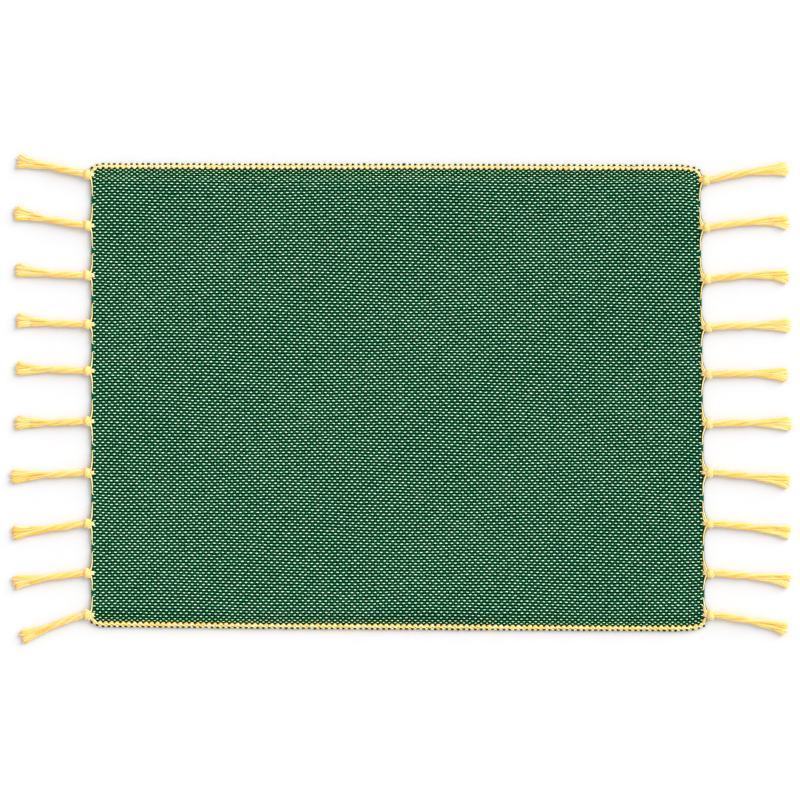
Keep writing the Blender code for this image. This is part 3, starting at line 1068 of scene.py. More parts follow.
@dataclass
class Core:
    """The closed dark sheet inside the weave, which the humps rise from on both faces. Its dark green
    is painted shade, for the shadows in the gaps between the humps.
    """

    plan: ClothPlan
    finish: bpy.types.Material
    low: float = 0.65 * MM
    high: float = 1.55 * MM
    inset: float = 1.0 * MM
    tone: float = 0.5
    steps_along: int = 48
    steps_across: int = 90

    def build(self) -> bpy.types.Object:
        """Build the sheet.

        Returns:
            The sheet, which stands for the cloth.
        """
        shape = bmesh.new()
        bmesh.ops.create_grid(shape, x_segments=self.steps_along, y_segments=self.steps_across, size=0.5)
        length, width = self.plan.length(), self.plan.width()
        for vert in shape.verts:
            along = 0.5 + self.crowd_ends(vert.co.x) * (1.0 - 2.0 * self.inset / length)
            across = 0.5 + vert.co.y * (1.0 - 2.0 * self.inset / width)
            vert.co = Vector((*self.plan.point(along, across), self.high))
        bmesh.ops.recalc_face_normals(shape, faces=list(shape.faces))
        bmesh.ops.solidify(shape, geom=list(shape.faces), thickness=self.high - self.low)
        bmesh.ops.recalc_face_normals(shape, faces=list(shape.faces))
        mesh = finish_bmesh("woven core", shape)
        store_tone(mesh, np.full(len(mesh.vertices), self.tone))
        return link_mesh("mat_cloth", mesh, self.finish)

    @staticmethod
    def crowd_ends(place: float) -> float:
        """Move a place from -0.5 to 0.5 so that even steps crowd towards both ends."""
        return 0.5 * math.sin(math.pi * place)


@dataclass
class Selvage:
    """The corded band along one long edge, and the weft that turns round its outermost cord."""

    plan: ClothPlan
    side: LongSide
    cord_finish: bpy.types.Material
    weft_finish: bpy.types.Material
    # Length, width, rise, sides, flat share, mid share and mid rise of each hump.
    rim_shape: FloatShape = FloatShape(3.2 * MM, 1.45 * MM, 1.0 * MM, 8, 0.45, 0.8, 0.65 * MM)
    cord_shape: FloatShape = FloatShape(4.2 * MM, 1.70 * MM, 1.0 * MM, 8, 0.45, 0.8, 0.65 * MM)
    tooth_shape: FloatShape = FloatShape(2.5 * MM, 1.35 * MM, 1.0 * MM, 8, 0.4, 0.75, 0.7 * MM)
    crowns: tuple[float, ...] = (2.30 * MM, 2.75 * MM, 2.70 * MM)   # of each cord, from the rim in
    # Painted shade: the bottom band's tones are deeper than the top's.
    tones: dict[LongSide, tuple[float, float]] = one_each(      # the range of the cords' tones
        LongSide, (0.25, 1.1), (0.0, 0.65))
    # Painted shade at the foot of each hump.
    foot_shade_tone: float = 0.9
    cord_seed: int = 23
    cord_lean: float = -0.1             # radians that a cord's humps lean, as its twist does
    cord_spread: float = 0.06           # of their sizes
    turn_spread: float = 0.1            # radians
    tooth_tone: float = 0.2             # how much deeper the teeth are
    tooth_spread: float = 0.08
    tooth_crown: float = 2.45 * MM
    tooth_shift: float = 0.15 * MM      # how far the first warp lies towards the band
    under_crown: float = 0.1 * MM
    fade_start: float = 9.0 * MM        # the cords thin out from here to the corner
    end_size: float = 0.55
    bend_seed: int = 31
    bend_sides: int = 6                 # of the yarn that turns round the rim
    bend_steps: int = 6
    bend_radius: float = 0.62 * MM      # of that yarn
    bend_reach: float = 0.90 * MM       # height of a bend above and below its middle
    bend_middle: float = 1.50 * MM
    bend_inset: float = 1.10 * MM       # from the rim to the middle of a bend
    bend_width: float = 1.6             # its width for each unit of height
    bend_fill: float = 0.98             # the most of its height over the floor that it may fill
    bend_spread: float = 0.09           # of its sizes
    bend_lean: float = 0.12             # radians that it strays
    # Painted shade: tones past 1 give the bends some of the weft's painted root shade.
    bend_tones: tuple[float, float] = (1.2, 1.7)
    last_bend: float = 1.0 * MM         # from an end edge to the bend at the corner

    def crossings(self, row: int) -> np.ndarray:
        """Return the shares along of every second pick, which a row of warp passes over."""
        return self.plan.pick_shares()[row % 2::2]

    def places(
        self, along: np.ndarray, offset: float, height: float,
    ) -> tuple[np.ndarray, np.ndarray, np.ndarray]:
        """Find places in a line along the edge.

        Args:
            along: Their shares along the cloth.
            offset: Their distance in from the long edge.
            height: Their height.

        Returns:
            The points, the line's angle at each of them and their distance from the nearer end.
        """
        width = self.plan.width()
        across = offset / width if self.side is LongSide.BOTTOM else 1.0 - offset / width
        x, y = self.plan.point(along, np.full_like(along, across))
        from_end = np.minimum(along, 1.0 - along) * self.plan.length()
        return np.stack([x, y, np.full_like(x, height)], axis=1), np.arctan(np.gradient(y, x)), from_end

    def build(self) -> list[bpy.types.Object]:
        """Build the band and the bends."""
        return [self.build_cords(), self.build_bends()]

    def build_cords(self) -> bpy.types.Object:
        """Build the three cords as staggered humps on both faces.

        Returns:
            The cords and the teeth, in one piece.
        """
        draws = np.random.default_rng(self.cord_seed + self.side.value)
        parts = []
        for face in (Face.UPPER, Face.UNDER):
            for row, offset in enumerate(self.plan.selvage_rows):
                template = (self.rim_shape if row == 0 else self.cord_shape).mesh(YarnSystem.WARP, face)
                crown = self.crowns[row] if face is Face.UPPER else self.under_crown
                points, line, from_end = self.places(self.crossings(row), offset, crown)
                fullness = np.clip(from_end / self.fade_start, 0.0, 1.0)
                length, width, height = 1.0 + draws.normal(0.0, self.cord_spread, (3, len(points)))
                width *= self.end_size + (1.0 - self.end_size) * fullness
                copies = Copies(
                    centres=points,
                    turn=line + draws.normal(self.cord_lean, self.turn_spread, len(points)),
                    stretch=np.stack([length, width, height], axis=1),
                    tone=draws.uniform(*self.tones[self.side], len(points)),
                    foot_shade_tone=self.foot_shade_tone,
                )
                parts.append(copies.build("cord humps", template, self.cord_finish))
        parts.append(self.build_teeth(draws))
        return join_pieces(f"selvage_cords_{self.side.name}".lower(), parts)

    def build_teeth(self, draws: np.random.Generator) -> bpy.types.Object:
        """Build the yellow humps of the first warp inside the band, between floats of weft.

        Args:
            draws: The source of random numbers.

        Returns:
            The teeth, before they join the cords.
        """
        row = 0 if self.side is LongSide.BOTTOM else len(self.plan.row_offsets()) - 1
        offset = self.plan.first_row - self.tooth_shift
        points, line, _ = self.places(self.crossings(row), offset, self.tooth_crown)
        copies = Copies(
            centres=points,
            turn=line + draws.normal(0.0, self.turn_spread, len(points)),
            stretch=1.0 + draws.normal(0.0, self.tooth_spread, points.shape),
            tone=draws.uniform(*self.tones[self.side], len(points)) + self.tooth_tone,
        )
        return copies.build("teeth", self.tooth_shape.mesh(YarnSystem.WARP, Face.UPPER), self.cord_finish)

    def build_bends(self) -> bpy.types.Object:
        """Build the green bends of weft round the outermost cord.

        Returns:
            The bends, in one piece.
        """
        draws = np.random.default_rng(self.bend_seed + self.side.value)
        corner = self.last_bend / self.plan.length()
        along = np.concatenate([[corner], self.crossings(1), [1.0 - corner]])
        points, line, _ = self.places(along, self.bend_inset, self.bend_middle)
        facing = 0.0 if self.side is LongSide.BOTTOM else math.pi
        stretch = 1.0 + draws.normal(0.0, self.bend_spread, points.shape)
        tallest = self.bend_fill * self.bend_middle / (self.bend_reach + self.bend_radius)
        stretch[:, 2] = np.minimum(stretch[:, 2], tallest)
        copies = Copies(
            centres=points,
            turn=facing + line + draws.normal(0.0, self.bend_lean, len(points)),
            stretch=stretch * np.array([self.bend_width, 1.0, 1.0]),
            tone=draws.uniform(*self.bend_tones, len(points)),
        )
        return copies.build(f"weft_turns_{self.side.name}".lower(), self.bend_mesh(), self.weft_finish)

    def bend_mesh(self) -> bpy.types.Mesh:
        """Build one bend: a half ring of yarn that bulges towards -Y.

        Returns:
            The bend's mesh, about its middle.
        """
        shape = bmesh.new()
        ring = bmesh.ops.create_circle(shape, segments=self.bend_sides, radius=self.bend_radius)["verts"]
        upright = Matrix.Rotation(math.radians(90.0), 4, "X")
        stand = Matrix.Translation((0.0, 0.0, self.bend_reach)) @ upright
        bmesh.ops.transform(shape, matrix=stand, verts=ring)
        bmesh.ops.spin(
            shape, geom=[*ring, *shape.edges], angle=math.pi, steps=self.bend_steps,
            axis=(1.0, 0.0, 0.0), cent=(0.0, 0.0, 0.0), use_duplicate=False)
        bmesh.ops.holes_fill(shape, edges=list(shape.edges), sides=self.bend_sides)
        bmesh.ops.recalc_face_normals(shape, faces=list(shape.faces))
        return finish_bmesh("bend", shape)


def join_pieces(name: str, parts: list[bpy.types.Object]) -> bpy.types.Object:
    """Join objects that share a material into one.

    Args:
        name: The joined object's name.
        parts: The objects, which are used up.

    Returns:
        The joined object.
    """
    joined = bmesh.new()
    tones = []
    for part in parts:
        values = np.empty(len(part.data.vertices), dtype=np.float32)
        part.data.attributes["tone"].data.foreach_get("value", values)
        tones.append(values)
        joined.from_mesh(part.data)
    material = parts[0].data.materials[0]
    for part in parts:
        bpy.data.objects.remove(part, do_unlink=True)
    mesh = finish_bmesh(name, joined)
    if "tone" in mesh.attributes:
        mesh.attributes.remove(mesh.attributes["tone"])
    store_tone(mesh, np.concatenate(tones))
    return link_mesh(name, mesh, material)


@dataclass
class EdgePick:
    """The last pick of weft at one end, which the knots draw out in scallops."""

    plan: ClothPlan
    end: End
    finish: bpy.types.Material
    radius: float = 0.85 * MM
    inset: float = 0.95 * MM
    height: float = 1.25 * MM
    corner_margin: float = 4.2 * MM
    step: float = 1.0 * MM
    tone: float = 0.5
    knot_pull: dict[End, float] = one_each(End, 1.0 * MM, 2.4 * MM)     # how far a knot draws it out
    pull_narrowness: float = 2.5
    bead: float = 0.10                  # how much it swells between two rows of warp

    def build(self) -> bpy.types.Object:
        """Build the pick as one long yarn.

        Returns:
            The pick.
        """
        low = self.plan.bottom.at(self.end.share) + self.corner_margin
        high = self.plan.top.at(self.end.share) - self.corner_margin
        count = round((high - low) / self.step)
        route = []
        radii = []
        for index in range(count + 1):
            y = low + (high - low) * index / count
            out = self.knot_pull[self.end] * self.plan.pull(self.end, y) ** self.pull_narrowness
            x = self.plan.edge_x(self.end, y) + self.end.value * (out - self.inset)
            route.append(Vector((x, y, self.height)))
            swell = self.bead * math.sin(math.tau * y / self.plan.row_pitch)
            radii.append(self.radius * (1.0 + swell))
        yarns = YarnMesh()
        yarns.sweep(route, radii, self.tone)
        return yarns.build(f"edge_pick_{self.end.name}".lower(), self.finish)


# --------------------------------------------------------------------------------------------
# The tassels
# --------------------------------------------------------------------------------------------


@dataclass(frozen=True)
class BundleRing:
    """One cross-section of a tassel's yarns.

    share is its place from the neck (0) to the cut ends (1), half_width and height its outer
    size, and twist how far the bundle has turned, in degrees.
    """

    share: float
    half_width: float
    height: float
    twist: float


# Share, half width and height in millimetres, and twist.
BUNDLE = tuple(BundleRing(share, half * MM, high * MM, twist) for share, half, high, twist in (
    (0.00, 2.10, 4.2, 0.0),
    (0.07, 2.40, 4.5, 14.0),
    (0.14, 2.55, 4.7, 38.0),
    (0.26, 2.55, 4.7, 92.0),
    (0.38, 2.50, 4.6, 152.0),
    (0.45, 2.40, 4.5, 190.0),
    (0.50, 2.22, 4.4, 214.0),
    (0.54, 2.30, 4.3, 232.0),
    (0.59, 2.80, 4.1, 246.0),
    (0.65, 3.15, 3.9, 257.0),
    (0.72, 3.45, 3.7, 265.0),
    (0.80, 3.85, 3.5, 271.0),
    (0.88, 4.35, 3.3, 275.0),
    (0.94, 5.40, 3.1, 277.0),
    (1.00, 7.00, 2.9, 278.0),
))


@dataclass(frozen=True)
class Wrap:
    """One wrap of the knot.

    distance is how far beyond the end edge it lies, half_width and height its outer size, radius
    its yarn's, and tilt how far it leans outwards for each unit across.
    """

    distance: float
    half_width: float
    height: float
    radius: float
    tilt: float


WRAPS = (
    Wrap(1.15 * MM, 3.35 * MM, 4.8 * MM, 1.25 * MM, 0.10),
    Wrap(2.55 * MM, 3.90 * MM, 5.5 * MM, 1.45 * MM, 0.18),
    Wrap(3.85 * MM, 3.35 * MM, 5.0 * MM, 1.20 * MM, 0.10),
)
MIDDLE_WRAP = WRAPS[1]


@dataclass
class Tassel:
    """One knotted bundle of warp ends, from its knot at the end edge to its cut ends."""

    plan: ClothPlan
    end: End
    place: TasselPlace
    finish: bpy.types.Material
    seed_step: int = 100                        # from one tassel's seed to the next
    yarn_radius: float = 0.82 * MM
    swell: float = 0.05                         # how much a yarn's radius swells and shrinks
    swell_turn: float = 9.0                     # radians of that from neck to tip
    outer_yarns: int = 9
    inner_yarns: int = 3
    inner_reach: float = 0.4                    # how far out the inner yarns lie, 1 being the outer ones
    spacing_spread: float = 0.1                 # how far a yarn strays towards its neighbour
    plies: int = 3                              # the outer yarns bunch into this many
    bunching: float = 0.22                      # radians that a yarn moves towards its ply's middle
    ply_relief: float = 0.10                    # how much nearer the middle a ply's edges lie
    tones: tuple[float, float] = (0.0, 0.35)
    # painted shade: a ply's edges lie in the creases between plies
    ply_edge_shade: float = 0.9                  # how much deeper a ply's edges are
    stations: int = 25
    root_distance: float = 2.0 * MM             # beyond the end edge, inside the knot
    neck_distance: float = 5.0 * MM
    fan_start: float = 0.70                     # share of the length where the yarns part
    fan_end: float = 0.94                       # and where they lie fully apart
    fan_slots: int = 7                          # tips side by side in the fan
    fan_spread: float = 0.30 * MM
    wander: float = 0.12 * MM                   # how far a yarn wanders sideways
    wander_turn: float = 11.0                   # radians of that from neck to tip
    wander_onset: float = 4.0                   # how fast it sets in beyond the neck
    tip_round: float = 1.8 * MM                 # how much shorter the outer yarns of the fan are
    tip_spread: float = 1.6 * MM
    fan_swell: float = 0.32                     # how much thicker a yarn is where its twist opens
    tip_taper: tuple[float, float] = (0.90, 0.50)       # of its last two cross-sections

    def __post_init__(self) -> None:
        """Work out the tassel's fixed points."""
        self.side = self.end.value
        self.draws = random.Random(self.seed_step * self.place.number + self.side)
        self.knot_y = self.place.knot_y * MM
        self.edge = self.plan.edge_x(self.end, self.knot_y) + self.side * self.plan.knot_pull[self.end]
        self.tip = Vector((self.place.tip_x * MM, self.place.tip_y * MM))
        self.neck = Vector((self.beyond(self.neck_distance), self.knot_y))
        self.run = self.tip - self.neck
        self.heading = self.run.normalized()
        self.sideways = Vector((-self.heading.y, self.heading.x)) * self.side

    def beyond(self, distance: float) -> float:
        """Return the x that lies a distance beyond the end edge, or inside it if below 0."""
        return self.edge + self.side * distance

    def build(self) -> bpy.types.Object:
        """Build the strands and the knot as one piece.

        Returns:
            The piece.
        """
        yarns = YarnMesh()
        self.add_strands(yarns)
        Knot().add(yarns, self)
        name = f"{self.end.name}_tassel_{self.place.number:02d}".lower()
        return yarns.build(name, self.finish)

    def centre(self, share: float) -> Vector:
        """Return the bundle's middle in plan at a share of its length."""
        bend = self.place.bow * MM * 4.0 * share * (1.0 - share)
        return self.neck + self.run * share + self.sideways * bend

    def add_strands(self, yarns: YarnMesh) -> None:
        """Add the loose yarns from the neck to the cut ends.

        Args:
            yarns: The mesh they go into.
        """
        start_angle = self.draws.uniform(0.0, math.tau)
        last_turn = self.side * math.radians(BUNDLE[-1].twist)
        strands = []
        for count, reach in ((self.outer_yarns, 1.0), (self.inner_yarns, self.inner_reach)):
            for index in range(count):
                stray = self.draws.uniform(-self.spacing_spread, self.spacing_spread)
                angle = math.tau * (index + stray) / count
                edge = 0.5 - 0.5 * math.cos(self.plies * angle)
                angle -= self.bunching * math.sin(self.plies * angle)
                strands.append((angle + start_angle, reach * (1.0 - self.ply_relief * edge), edge))
        strands.sort(key=lambda strand: strand[1] * math.cos(strand[0] - last_turn))
        for rank, (angle, reach, edge) in enumerate(strands):
            slot = rank * self.fan_slots // len(strands)
            # Painted shade: yarns at a ply's edges are deeper, for the creases between plies.
            tone = self.draws.uniform(*self.tones) + self.ply_edge_shade * edge
            self.add_strand(yarns, angle, reach, 2.0 * slot / (self.fan_slots - 1) - 1.0, rank % 2, tone)

    def add_strand(
        self, yarns: YarnMesh, angle: float, reach: float, slot: float, layer: int, tone: float,
    ) -> None:
        """Add one loose yarn.

        Args:
            yarns: The mesh it goes into.
            angle: Its place round the bundle at the neck, in radians.
            reach: How far out from the bundle's middle it lies, from 0 to 1.
            slot: Its place across the fan, from -1 to 1.
            layer: Whether it ends low (0) or high (1) in the fan.
            tone: Its depth of colour.
        """
        cut = self.tip_round * slot**2 + self.draws.uniform(0.0, self.tip_spread)
        end_share = 1.0 - cut / self.run.length
        fan_shift = self.draws.uniform(-self.fan_spread, self.fan_spread)
        phase = self.draws.uniform(0.0, math.tau)
        root_y = self.knot_y + 0.5 * reach * math.cos(angle) * BUNDLE[0].half_width
        route = [Vector((self.beyond(self.root_distance), root_y, 0.5 * MIDDLE_WRAP.height))]
        radii = [self.yarn_radius]
        for station in range(self.stations + 1):
            share = end_share * station / self.stations
            ring = self.bundle_at(share)
            turned = angle - self.side * math.radians(ring.twist)
            loose = min(max(0.0, (share - self.fan_start) / (self.fan_end - self.fan_start)), 1.0)
            bound = 1.0 - loose
            swell = self.swell * math.sin(self.swell_turn * share + phase)
            radius = self.yarn_radius * (1.0 + swell + self.fan_swell * loose)
            half, rise = ring.half_width - radius, 0.5 * ring.height - radius
            drift = self.wander * math.sin(self.wander_turn * share + phase)
            drift *= min(1.0, self.wander_onset * share)
            across = reach * math.cos(turned) * half * bound + slot * half * loose + fan_shift * loose
            up = reach * math.sin(turned) * rise * bound + (2 * layer - 1) * rise * loose
            if station >= self.stations - 1:
                radius *= self.tip_taper[station - self.stations + 1]
            point = self.centre(share) + self.sideways * (across + drift)
            route.append(Vector((point.x, point.y, max(0.5 * ring.height + up, radius))))
            radii.append(radius)
        yarns.sweep(route, radii, tone)

    def bundle_at(self, share: float) -> BundleRing:
        """Find a cross-section of the bundle.

        Args:
            share: The share of the bundle's length.

        Returns:
            The cross-section, between those of BUNDLE.
        """
        shares = [ring.share for ring in BUNDLE]
        sizes = (
            float(np.interp(share, shares, [getattr(ring, name) for ring in BUNDLE]))
            for name in ("half_width", "height", "twist")
        )
        return BundleRing(share, *sizes)


@dataclass(frozen=True)
class Knot:
    """The knot of a tassel: a rounded core, as shares of the middle wrap, and the wraps round it."""

    core_length: float = 2.7 * MM       # from its middle to either end
    core_width: float = 0.93
    core_height: float = 0.46
    # painted shade: the core shows deeper in the grooves between the wraps
    core_shade_tone: float = 0.5
    lean: float = 0.08                  # how far a knot may lean for each unit across
    sizes: tuple[float, float] = (0.95, 1.05)
    wrap_tones: tuple[float, float] = (0.0, 0.3)

    def add(self, yarns: YarnMesh, tassel: Tassel) -> None:
        """Add the core and the wraps.

        Args:
            yarns: The mesh they go into.
            tassel: The tassel they belong to.
        """
        lean = tassel.draws.uniform(-self.lean, self.lean)
        size = tassel.draws.uniform(*self.sizes)
        middle = MIDDLE_WRAP
        place = Matrix.Translation((tassel.beyond(middle.distance), tassel.knot_y, 0.5 * middle.height))
        half_width = self.core_width * middle.half_width * size
        half_height = self.core_height * middle.height
        yarns.ball(place, (self.core_length, half_width, half_height), self.core_shade_tone)
        for wrap in WRAPS:
            reach = (wrap.half_width - wrap.radius) * size
            flatness = (0.5 * wrap.height - wrap.radius) / (wrap.half_width - wrap.radius)
            shear = Matrix.Identity(4)
            shear[0][1] = -(wrap.tilt + lean)
            place = Matrix.Translation((tassel.beyond(wrap.distance), tassel.knot_y, 0.5 * wrap.height))
            tone = tassel.draws.uniform(*self.wrap_tones)
            yarns.ring_wrap(place @ shear, reach, flatness, wrap.radius * size, tone)


@dataclass
class Gather:
    """The yarns that run along the end edge, and straight out of the cloth, into one knot.

    They go into a mesh that one end's tassels share.
    """

    tassel: Tassel
    radii: tuple[float, float] = (0.30 * MM, 0.62 * MM)     # at the weave and at the knot
    tones: tuple[float, float] = (0.5, 0.9)
    gap: float = 2.3 * MM               # from halfway between two knots to the first hook
    second_reach: float = 0.50          # how far the second yarn reaches, 1 being the first
    inset: float = 0.85 * MM            # from the end edge to the gather's middle
    pile: float = 0.75 * MM             # how far in each further yarn lies
    height: float = 2.55 * MM
    bend_radius: float = 0.9 * MM       # of the bend into the gather
    bend_steps: int = 3
    run_steps: int = 8                  # from the bend to the knot
    wobble: float = 0.15 * MM
    wobble_turn: float = 9.0            # radians from the bend to the knot
    knot_distance: float = 0.9 * MM     # from the end edge to where the yarns enter the knot
    knot_height: float = 3.30 * MM
    hook_start: float = 2.3 * MM        # from the end edge to where a yarn leaves the weave
    hook_run: float = 0.5 * MM          # its first stretch
    hook_heights: tuple[float, float] = (1.5 * MM, 2.1 * MM)
    hook_stray: tuple[float, float] = (-0.8, 0.4)       # mm, nearer the knot and farther away
    knob_start: float = 2.3 * MM        # hook_start for the yarns straight behind the knot
    knob_stray: float = 0.4             # mm, to and fro
    knob_spread: float = 0.85 * MM
    knob_radius: float = 0.58 * MM
    knob_root: float = 1.7 * MM         # the height where they leave the weave
    knob_run: float = 0.7 * MM          # their first stretch, up to the gather's height
    knob_shoulder: tuple[float, float] = (0.8 * MM, 0.4 * MM)   # in from the end edge, and up
    knob_end: float = 1.2 * MM          # from the end edge to their ends in the knot
    # Painted shade: tones past 1 take them into the cord's orange root shade, beside the knot.
    knob_tones: tuple[float, float] = (0.5, 1.1)
    corner_offsets: tuple[float, ...] = (0.65 * MM, 1.55 * MM)  # the corner's cords, in from the rim
    corner_start: float = 30.0          # degrees round the corner
    corner_sweep: float = 60.0          # degrees from there on
    corner_steps: int = 8
    corner_shares: tuple[float, ...] = (0.3, 0.6, 0.85, 1.0)    # of the way on to the knot
    corner_radius: float = 0.62 * MM
    corner_height: float = 1.85 * MM
    corner_end: float = 0.5 * MM        # from the knot's middle to their ends, sideways and up
    # Painted shade: tones past 1 take them into the cord's orange root shade, inside the bend.
    corner_tones: tuple[float, float] = (0.6, 1.2)

    def add(self, yarns: YarnMesh) -> None:
        """Add every yarn of the gather.

        Args:
            yarns: The mesh they go into.
        """
        for direction in (-1, 1):
            reach = self.reach(direction)
            if reach is None:
                self.add_corner_cords(yarns, direction)
                continue
            self.add_yarn(yarns, direction, reach, 0)
            if self.tassel.end is End.RIGHT and direction > 0:
                self.add_yarn(yarns, direction, self.second_reach * reach, 1)
        for offset in (-self.knob_spread, 0.0, self.knob_spread):
            self.add_knob_yarn(yarns, offset)

    def reach(self, direction: int) -> float | None:
        """Find how far the gather runs along the end edge.

        Args:
            direction: The side of the knot, -1 for -Y or 1 for +Y.

        Returns:
            Its length, or None where a corner and no other knot lies there.
        """
        knots = self.tassel.plan.knots(self.tassel.end)
        distances = [(knot - self.tassel.knot_y) * direction for knot in knots]
        others = [distance for distance in distances if distance > 0.0]
        return 0.5 * min(others) - self.gap if others else None

    def line_x(self, y: float, inset: float) -> float:
        """Find a line that follows the end edge as the knots draw it.

        Args:
            y: Where along the edge.
            inset: The distance in from it.

        Returns:
            The line's x there.
        """
        plan, end = self.tassel.plan, self.tassel.end
        pull = plan.pull(end, y) ** 2 * plan.knot_pull[end]
        return plan.edge_x(end, y) + end.value * (pull - inset)

    def add_yarn(self, yarns: YarnMesh, direction: int, reach: float, lane: int) -> None:
        """Add one yarn that runs along the end edge, from where it leaves the weave to the knot.

        Args:
            yarns: The mesh it goes into.
            direction: The side of the knot it comes from, -1 for -Y or 1 for +Y.
            reach: How far from the knot it leaves the weave.
            lane: Its number, from the farthest yarn, which lies outermost, to the nearest.
        """
        knot_y, draws = self.tassel.knot_y, self.tassel.draws
        start_y = knot_y + direction * (reach + draws.uniform(*self.hook_stray) * MM)
        inset = self.inset + self.pile * lane
        entry = max(self.hook_start, inset + self.bend_radius)
        low, high = self.hook_heights
        route = [
            Vector((self.line_x(start_y, entry), start_y, low)),
            Vector((self.line_x(start_y, entry - self.hook_run), start_y, high)),
        ]
        for step in range(self.bend_steps + 1):
            angle = 0.5 * math.pi * step / self.bend_steps
            y = start_y - direction * self.bend_radius * (1.0 - math.cos(angle))
            x = self.line_x(y, inset + self.bend_radius * (1.0 - math.sin(angle)))
            route.append(Vector((x, y, self.height)))
        last_y = route[-1].y
        thin, thick = self.radii
        radii = [thin] * len(route)
        knot_x = self.tassel.beyond(self.knot_distance)
        phase = draws.uniform(0.0, math.tau)
        for step in range(1, self.run_steps + 1):
            share = step / self.run_steps
            y = last_y + (knot_y - last_y) * share
            wobble = self.wobble * math.sin(self.wobble_turn * share + phase) * (1.0 - share)
            x = self.line_x(y, inset) + wobble
            into_knot = max(0.0, 2.0 * share - 1.0) ** 2
            height = self.height + (self.knot_height - self.height) * share
            route.append(Vector((x + (knot_x - x) * into_knot, y, height)))
            radii.append(thin + (thick - thin) * share)
        yarns.sweep(route, radii, draws.uniform(*self.tones))

    def add_knob_yarn(self, yarns: YarnMesh, offset: float) -> None:
        """Add one yarn straight behind the knot.

        Args:
            yarns: The mesh it goes into.
            offset: How far towards +Y from the knot's middle it leaves the cloth.
        """
        tassel = self.tassel
        y = tassel.knot_y + offset
        start = self.knob_start + tassel.draws.uniform(-self.knob_stray, self.knob_stray) * MM
        inset, rise = self.knob_shoulder
        route = [
            Vector((tassel.beyond(-start), y, self.knob_root)),
            Vector((tassel.beyond(-start) + tassel.side * self.knob_run, y, self.height)),
            Vector((tassel.beyond(-inset), y, self.height + rise)),
            Vector((tassel.beyond(self.knob_end), tassel.knot_y + 0.5 * offset, self.knot_height)),
        ]
        yarns.sweep(route, [self.knob_radius] * len(route), tassel.draws.uniform(*self.knob_tones))

    def add_corner_cords(self, yarns: YarnMesh, direction: int) -> None:
        """Add the selvage's cords, which curl round the corner into the knot.

        Args:
            yarns: The mesh they go into.
            direction: The corner's side, -1 for -Y or 1 for +Y.
        """
        tassel = self.tassel
        plan, end = tassel.plan, tassel.end
        rim = (plan.bottom if direction < 0 else plan.top).at(end.share)
        end_x = plan.edge_x(end, rim)
        length, depth = plan.corner_sizes[end]
        knot_x = tassel.beyond(self.knot_distance)
        knot_y = tassel.knot_y + direction * self.corner_end
        for offset in self.corner_offsets:
            route = []
            for step in range(self.corner_steps + 1):
                turned = math.radians(self.corner_sweep) * step / self.corner_steps
                angle = math.radians(self.corner_start) + turned
                route.append(Vector((
                    end_x - tassel.side * (length - (length - offset) * math.sin(angle)),
                    rim - direction * (depth - (depth - offset) * math.cos(angle)),
                    self.corner_height,
                )))
            last = route[-1]
            for share in self.corner_shares:
                route.append(Vector((
                    last.x + (knot_x - last.x) * share**2,
                    last.y + (knot_y - last.y) * share,
                    self.corner_height + self.corner_end * share,
                )))
            tone = tassel.draws.uniform(*self.corner_tones)
            yarns.sweep(route, [self.corner_radius] * len(route), tone)


# --------------------------------------------------------------------------------------------
# The studio
# --------------------------------------------------------------------------------------------


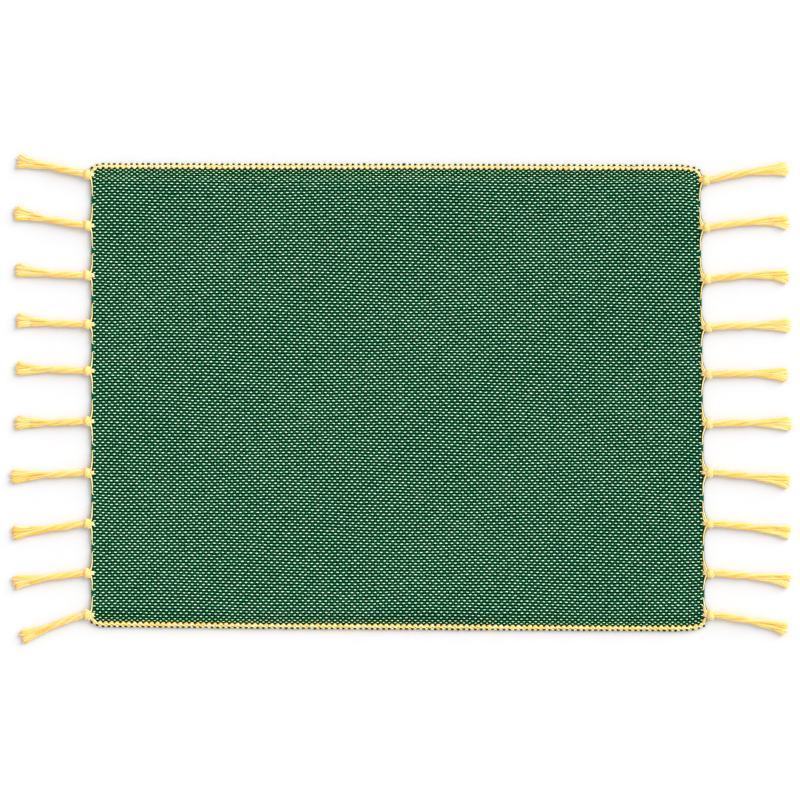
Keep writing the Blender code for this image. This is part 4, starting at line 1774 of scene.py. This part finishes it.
@dataclass(frozen=True)
class Studio:
    """A white floor, a soft key light from the upper right, even fill and a camera overhead."""

    floor_finish: MatSurface
    floor_size: float = 6.0
    key_strength: float = 3.15
    key_azimuth: float = 36.0           # degrees from +X towards +Y
    key_elevation: float = 30.0         # degrees above the floor
    key_softness: float = 46.0          # degrees across
    fill_strength: float = 1.00
    view_width: float = 568.0 * MM      # what the picture shows of the floor
    view_centre: tuple[float, float] = (1.775 * MM, -2.84 * MM)
    camera_height: float = 3.0
    sensor_width: float = 36.0          # mm

    def build(self) -> None:
        """Build the floor, the lights and the camera."""
        self.build_floor()
        self.build_lights()
        self.build_camera()

    def build_floor(self) -> None:
        """Build the floor, which the mat lies on."""
        shape = bmesh.new()
        bmesh.ops.create_grid(shape, x_segments=1, y_segments=1, size=0.5 * self.floor_size)
        floor = link_mesh("floor", finish_bmesh("floor", shape), self.floor_finish.build())
        floor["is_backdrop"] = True

    def build_lights(self) -> None:
        """Build the key light and the fill."""
        key = bpy.data.lights.new("key", "SUN")
        key.energy = self.key_strength
        key.angle = math.radians(self.key_softness)
        lamp = bpy.data.objects.new("key", key)
        azimuth, elevation = math.radians(self.key_azimuth), math.radians(self.key_elevation)
        level = math.cos(elevation)
        towards = Vector((math.cos(azimuth) * level, math.sin(azimuth) * level, math.sin(elevation)))
        lamp.rotation_euler = towards.to_track_quat("Z", "Y").to_euler()
        lamp.location = towards
        bpy.context.scene.collection.objects.link(lamp)
        world = bpy.data.worlds.new("fill")
        world.use_nodes = True
        background = world.node_tree.nodes["Background"]
        background.inputs["Color"].default_value = (1.0, 1.0, 1.0, 1.0)
        background.inputs["Strength"].default_value = self.fill_strength
        bpy.context.scene.world = world

    def build_camera(self) -> None:
        """Build the camera straight above the mat."""
        data = bpy.data.cameras.new("overhead")
        data.sensor_width = self.sensor_width
        data.lens = self.sensor_width * self.camera_height / self.view_width
        data.clip_end = 2.0 * self.camera_height
        camera = bpy.data.objects.new("overhead", data)
        camera.location = (*self.view_centre, self.camera_height)
        bpy.context.scene.collection.objects.link(camera)
        bpy.context.scene.camera = camera


# --------------------------------------------------------------------------------------------
# The whole scene
# --------------------------------------------------------------------------------------------


def report(piece: bpy.types.Object) -> int:
    """Log one piece.

    Args:
        piece: The piece.

    Returns:
        Its number of triangles.
    """
    count = sum(len(polygon.vertices) - 2 for polygon in piece.data.polygons)
    LOG.info("%-22s %7d triangles", piece.name, count)
    return count


def write_sizes() -> None:
    """Work out the CAD model's box and the visual model's box."""
    boxes = {"cad": CAD_BOX, "visual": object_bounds()}
    plain = {name: [list(corner) for corner in box] for name, box in boxes.items()}


def main() -> None:
    """Build the mat and its studio, and work out the models' boxes."""
    logging.basicConfig(level=logging.INFO, format="%(message)s")
    bpy.context.scene.view_settings.view_transform = "Standard"
    plan = ClothPlan()
    finishes = Finishes()
    yarns = {YarnSystem.WARP: finishes.warp.build(), YarnSystem.WEFT: finishes.weft.build()}
    cord = finishes.cord.build()
    tassel_cotton = finishes.tassel.build()
    green_cord = finishes.green_cord.build()

    cloth = Core(plan, finishes.core.build()).build()
    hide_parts("mat")
    woven = Weave(plan, yarns).build()
    for side in LongSide:
        woven += Selvage(plan, side, cord, yarns[YarnSystem.WEFT]).build()
    for end in End:
        woven.append(EdgePick(plan, end, green_cord).build())
    tassels = []
    for end in End:
        gathers = YarnMesh()
        for place in TASSELS[end]:
            bundle = Tassel(plan, end, place, tassel_cotton)
            tassel = bundle.build()
            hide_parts(f"tassel_{end.name.lower()}_{place.number:02d}")
            tassels.append(tassel)
            Gather(bundle).add(gathers)
        woven.append(gathers.build(f"gather_cords_{end.name}".lower(), cord))

    total = 0
    for piece in [cloth, *woven, *tassels]:
        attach(piece, "root")
        yellow = piece in tassels or "warp" in piece.name or "cords" in piece.name
        total += report(piece)
    LOG.info("all pieces together    %7d triangles", total)

    Studio(finishes.floor).build()
    plan.length()
    plan.width()
    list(woven)
    write_sizes()


if __name__ == "__main__":
    main()
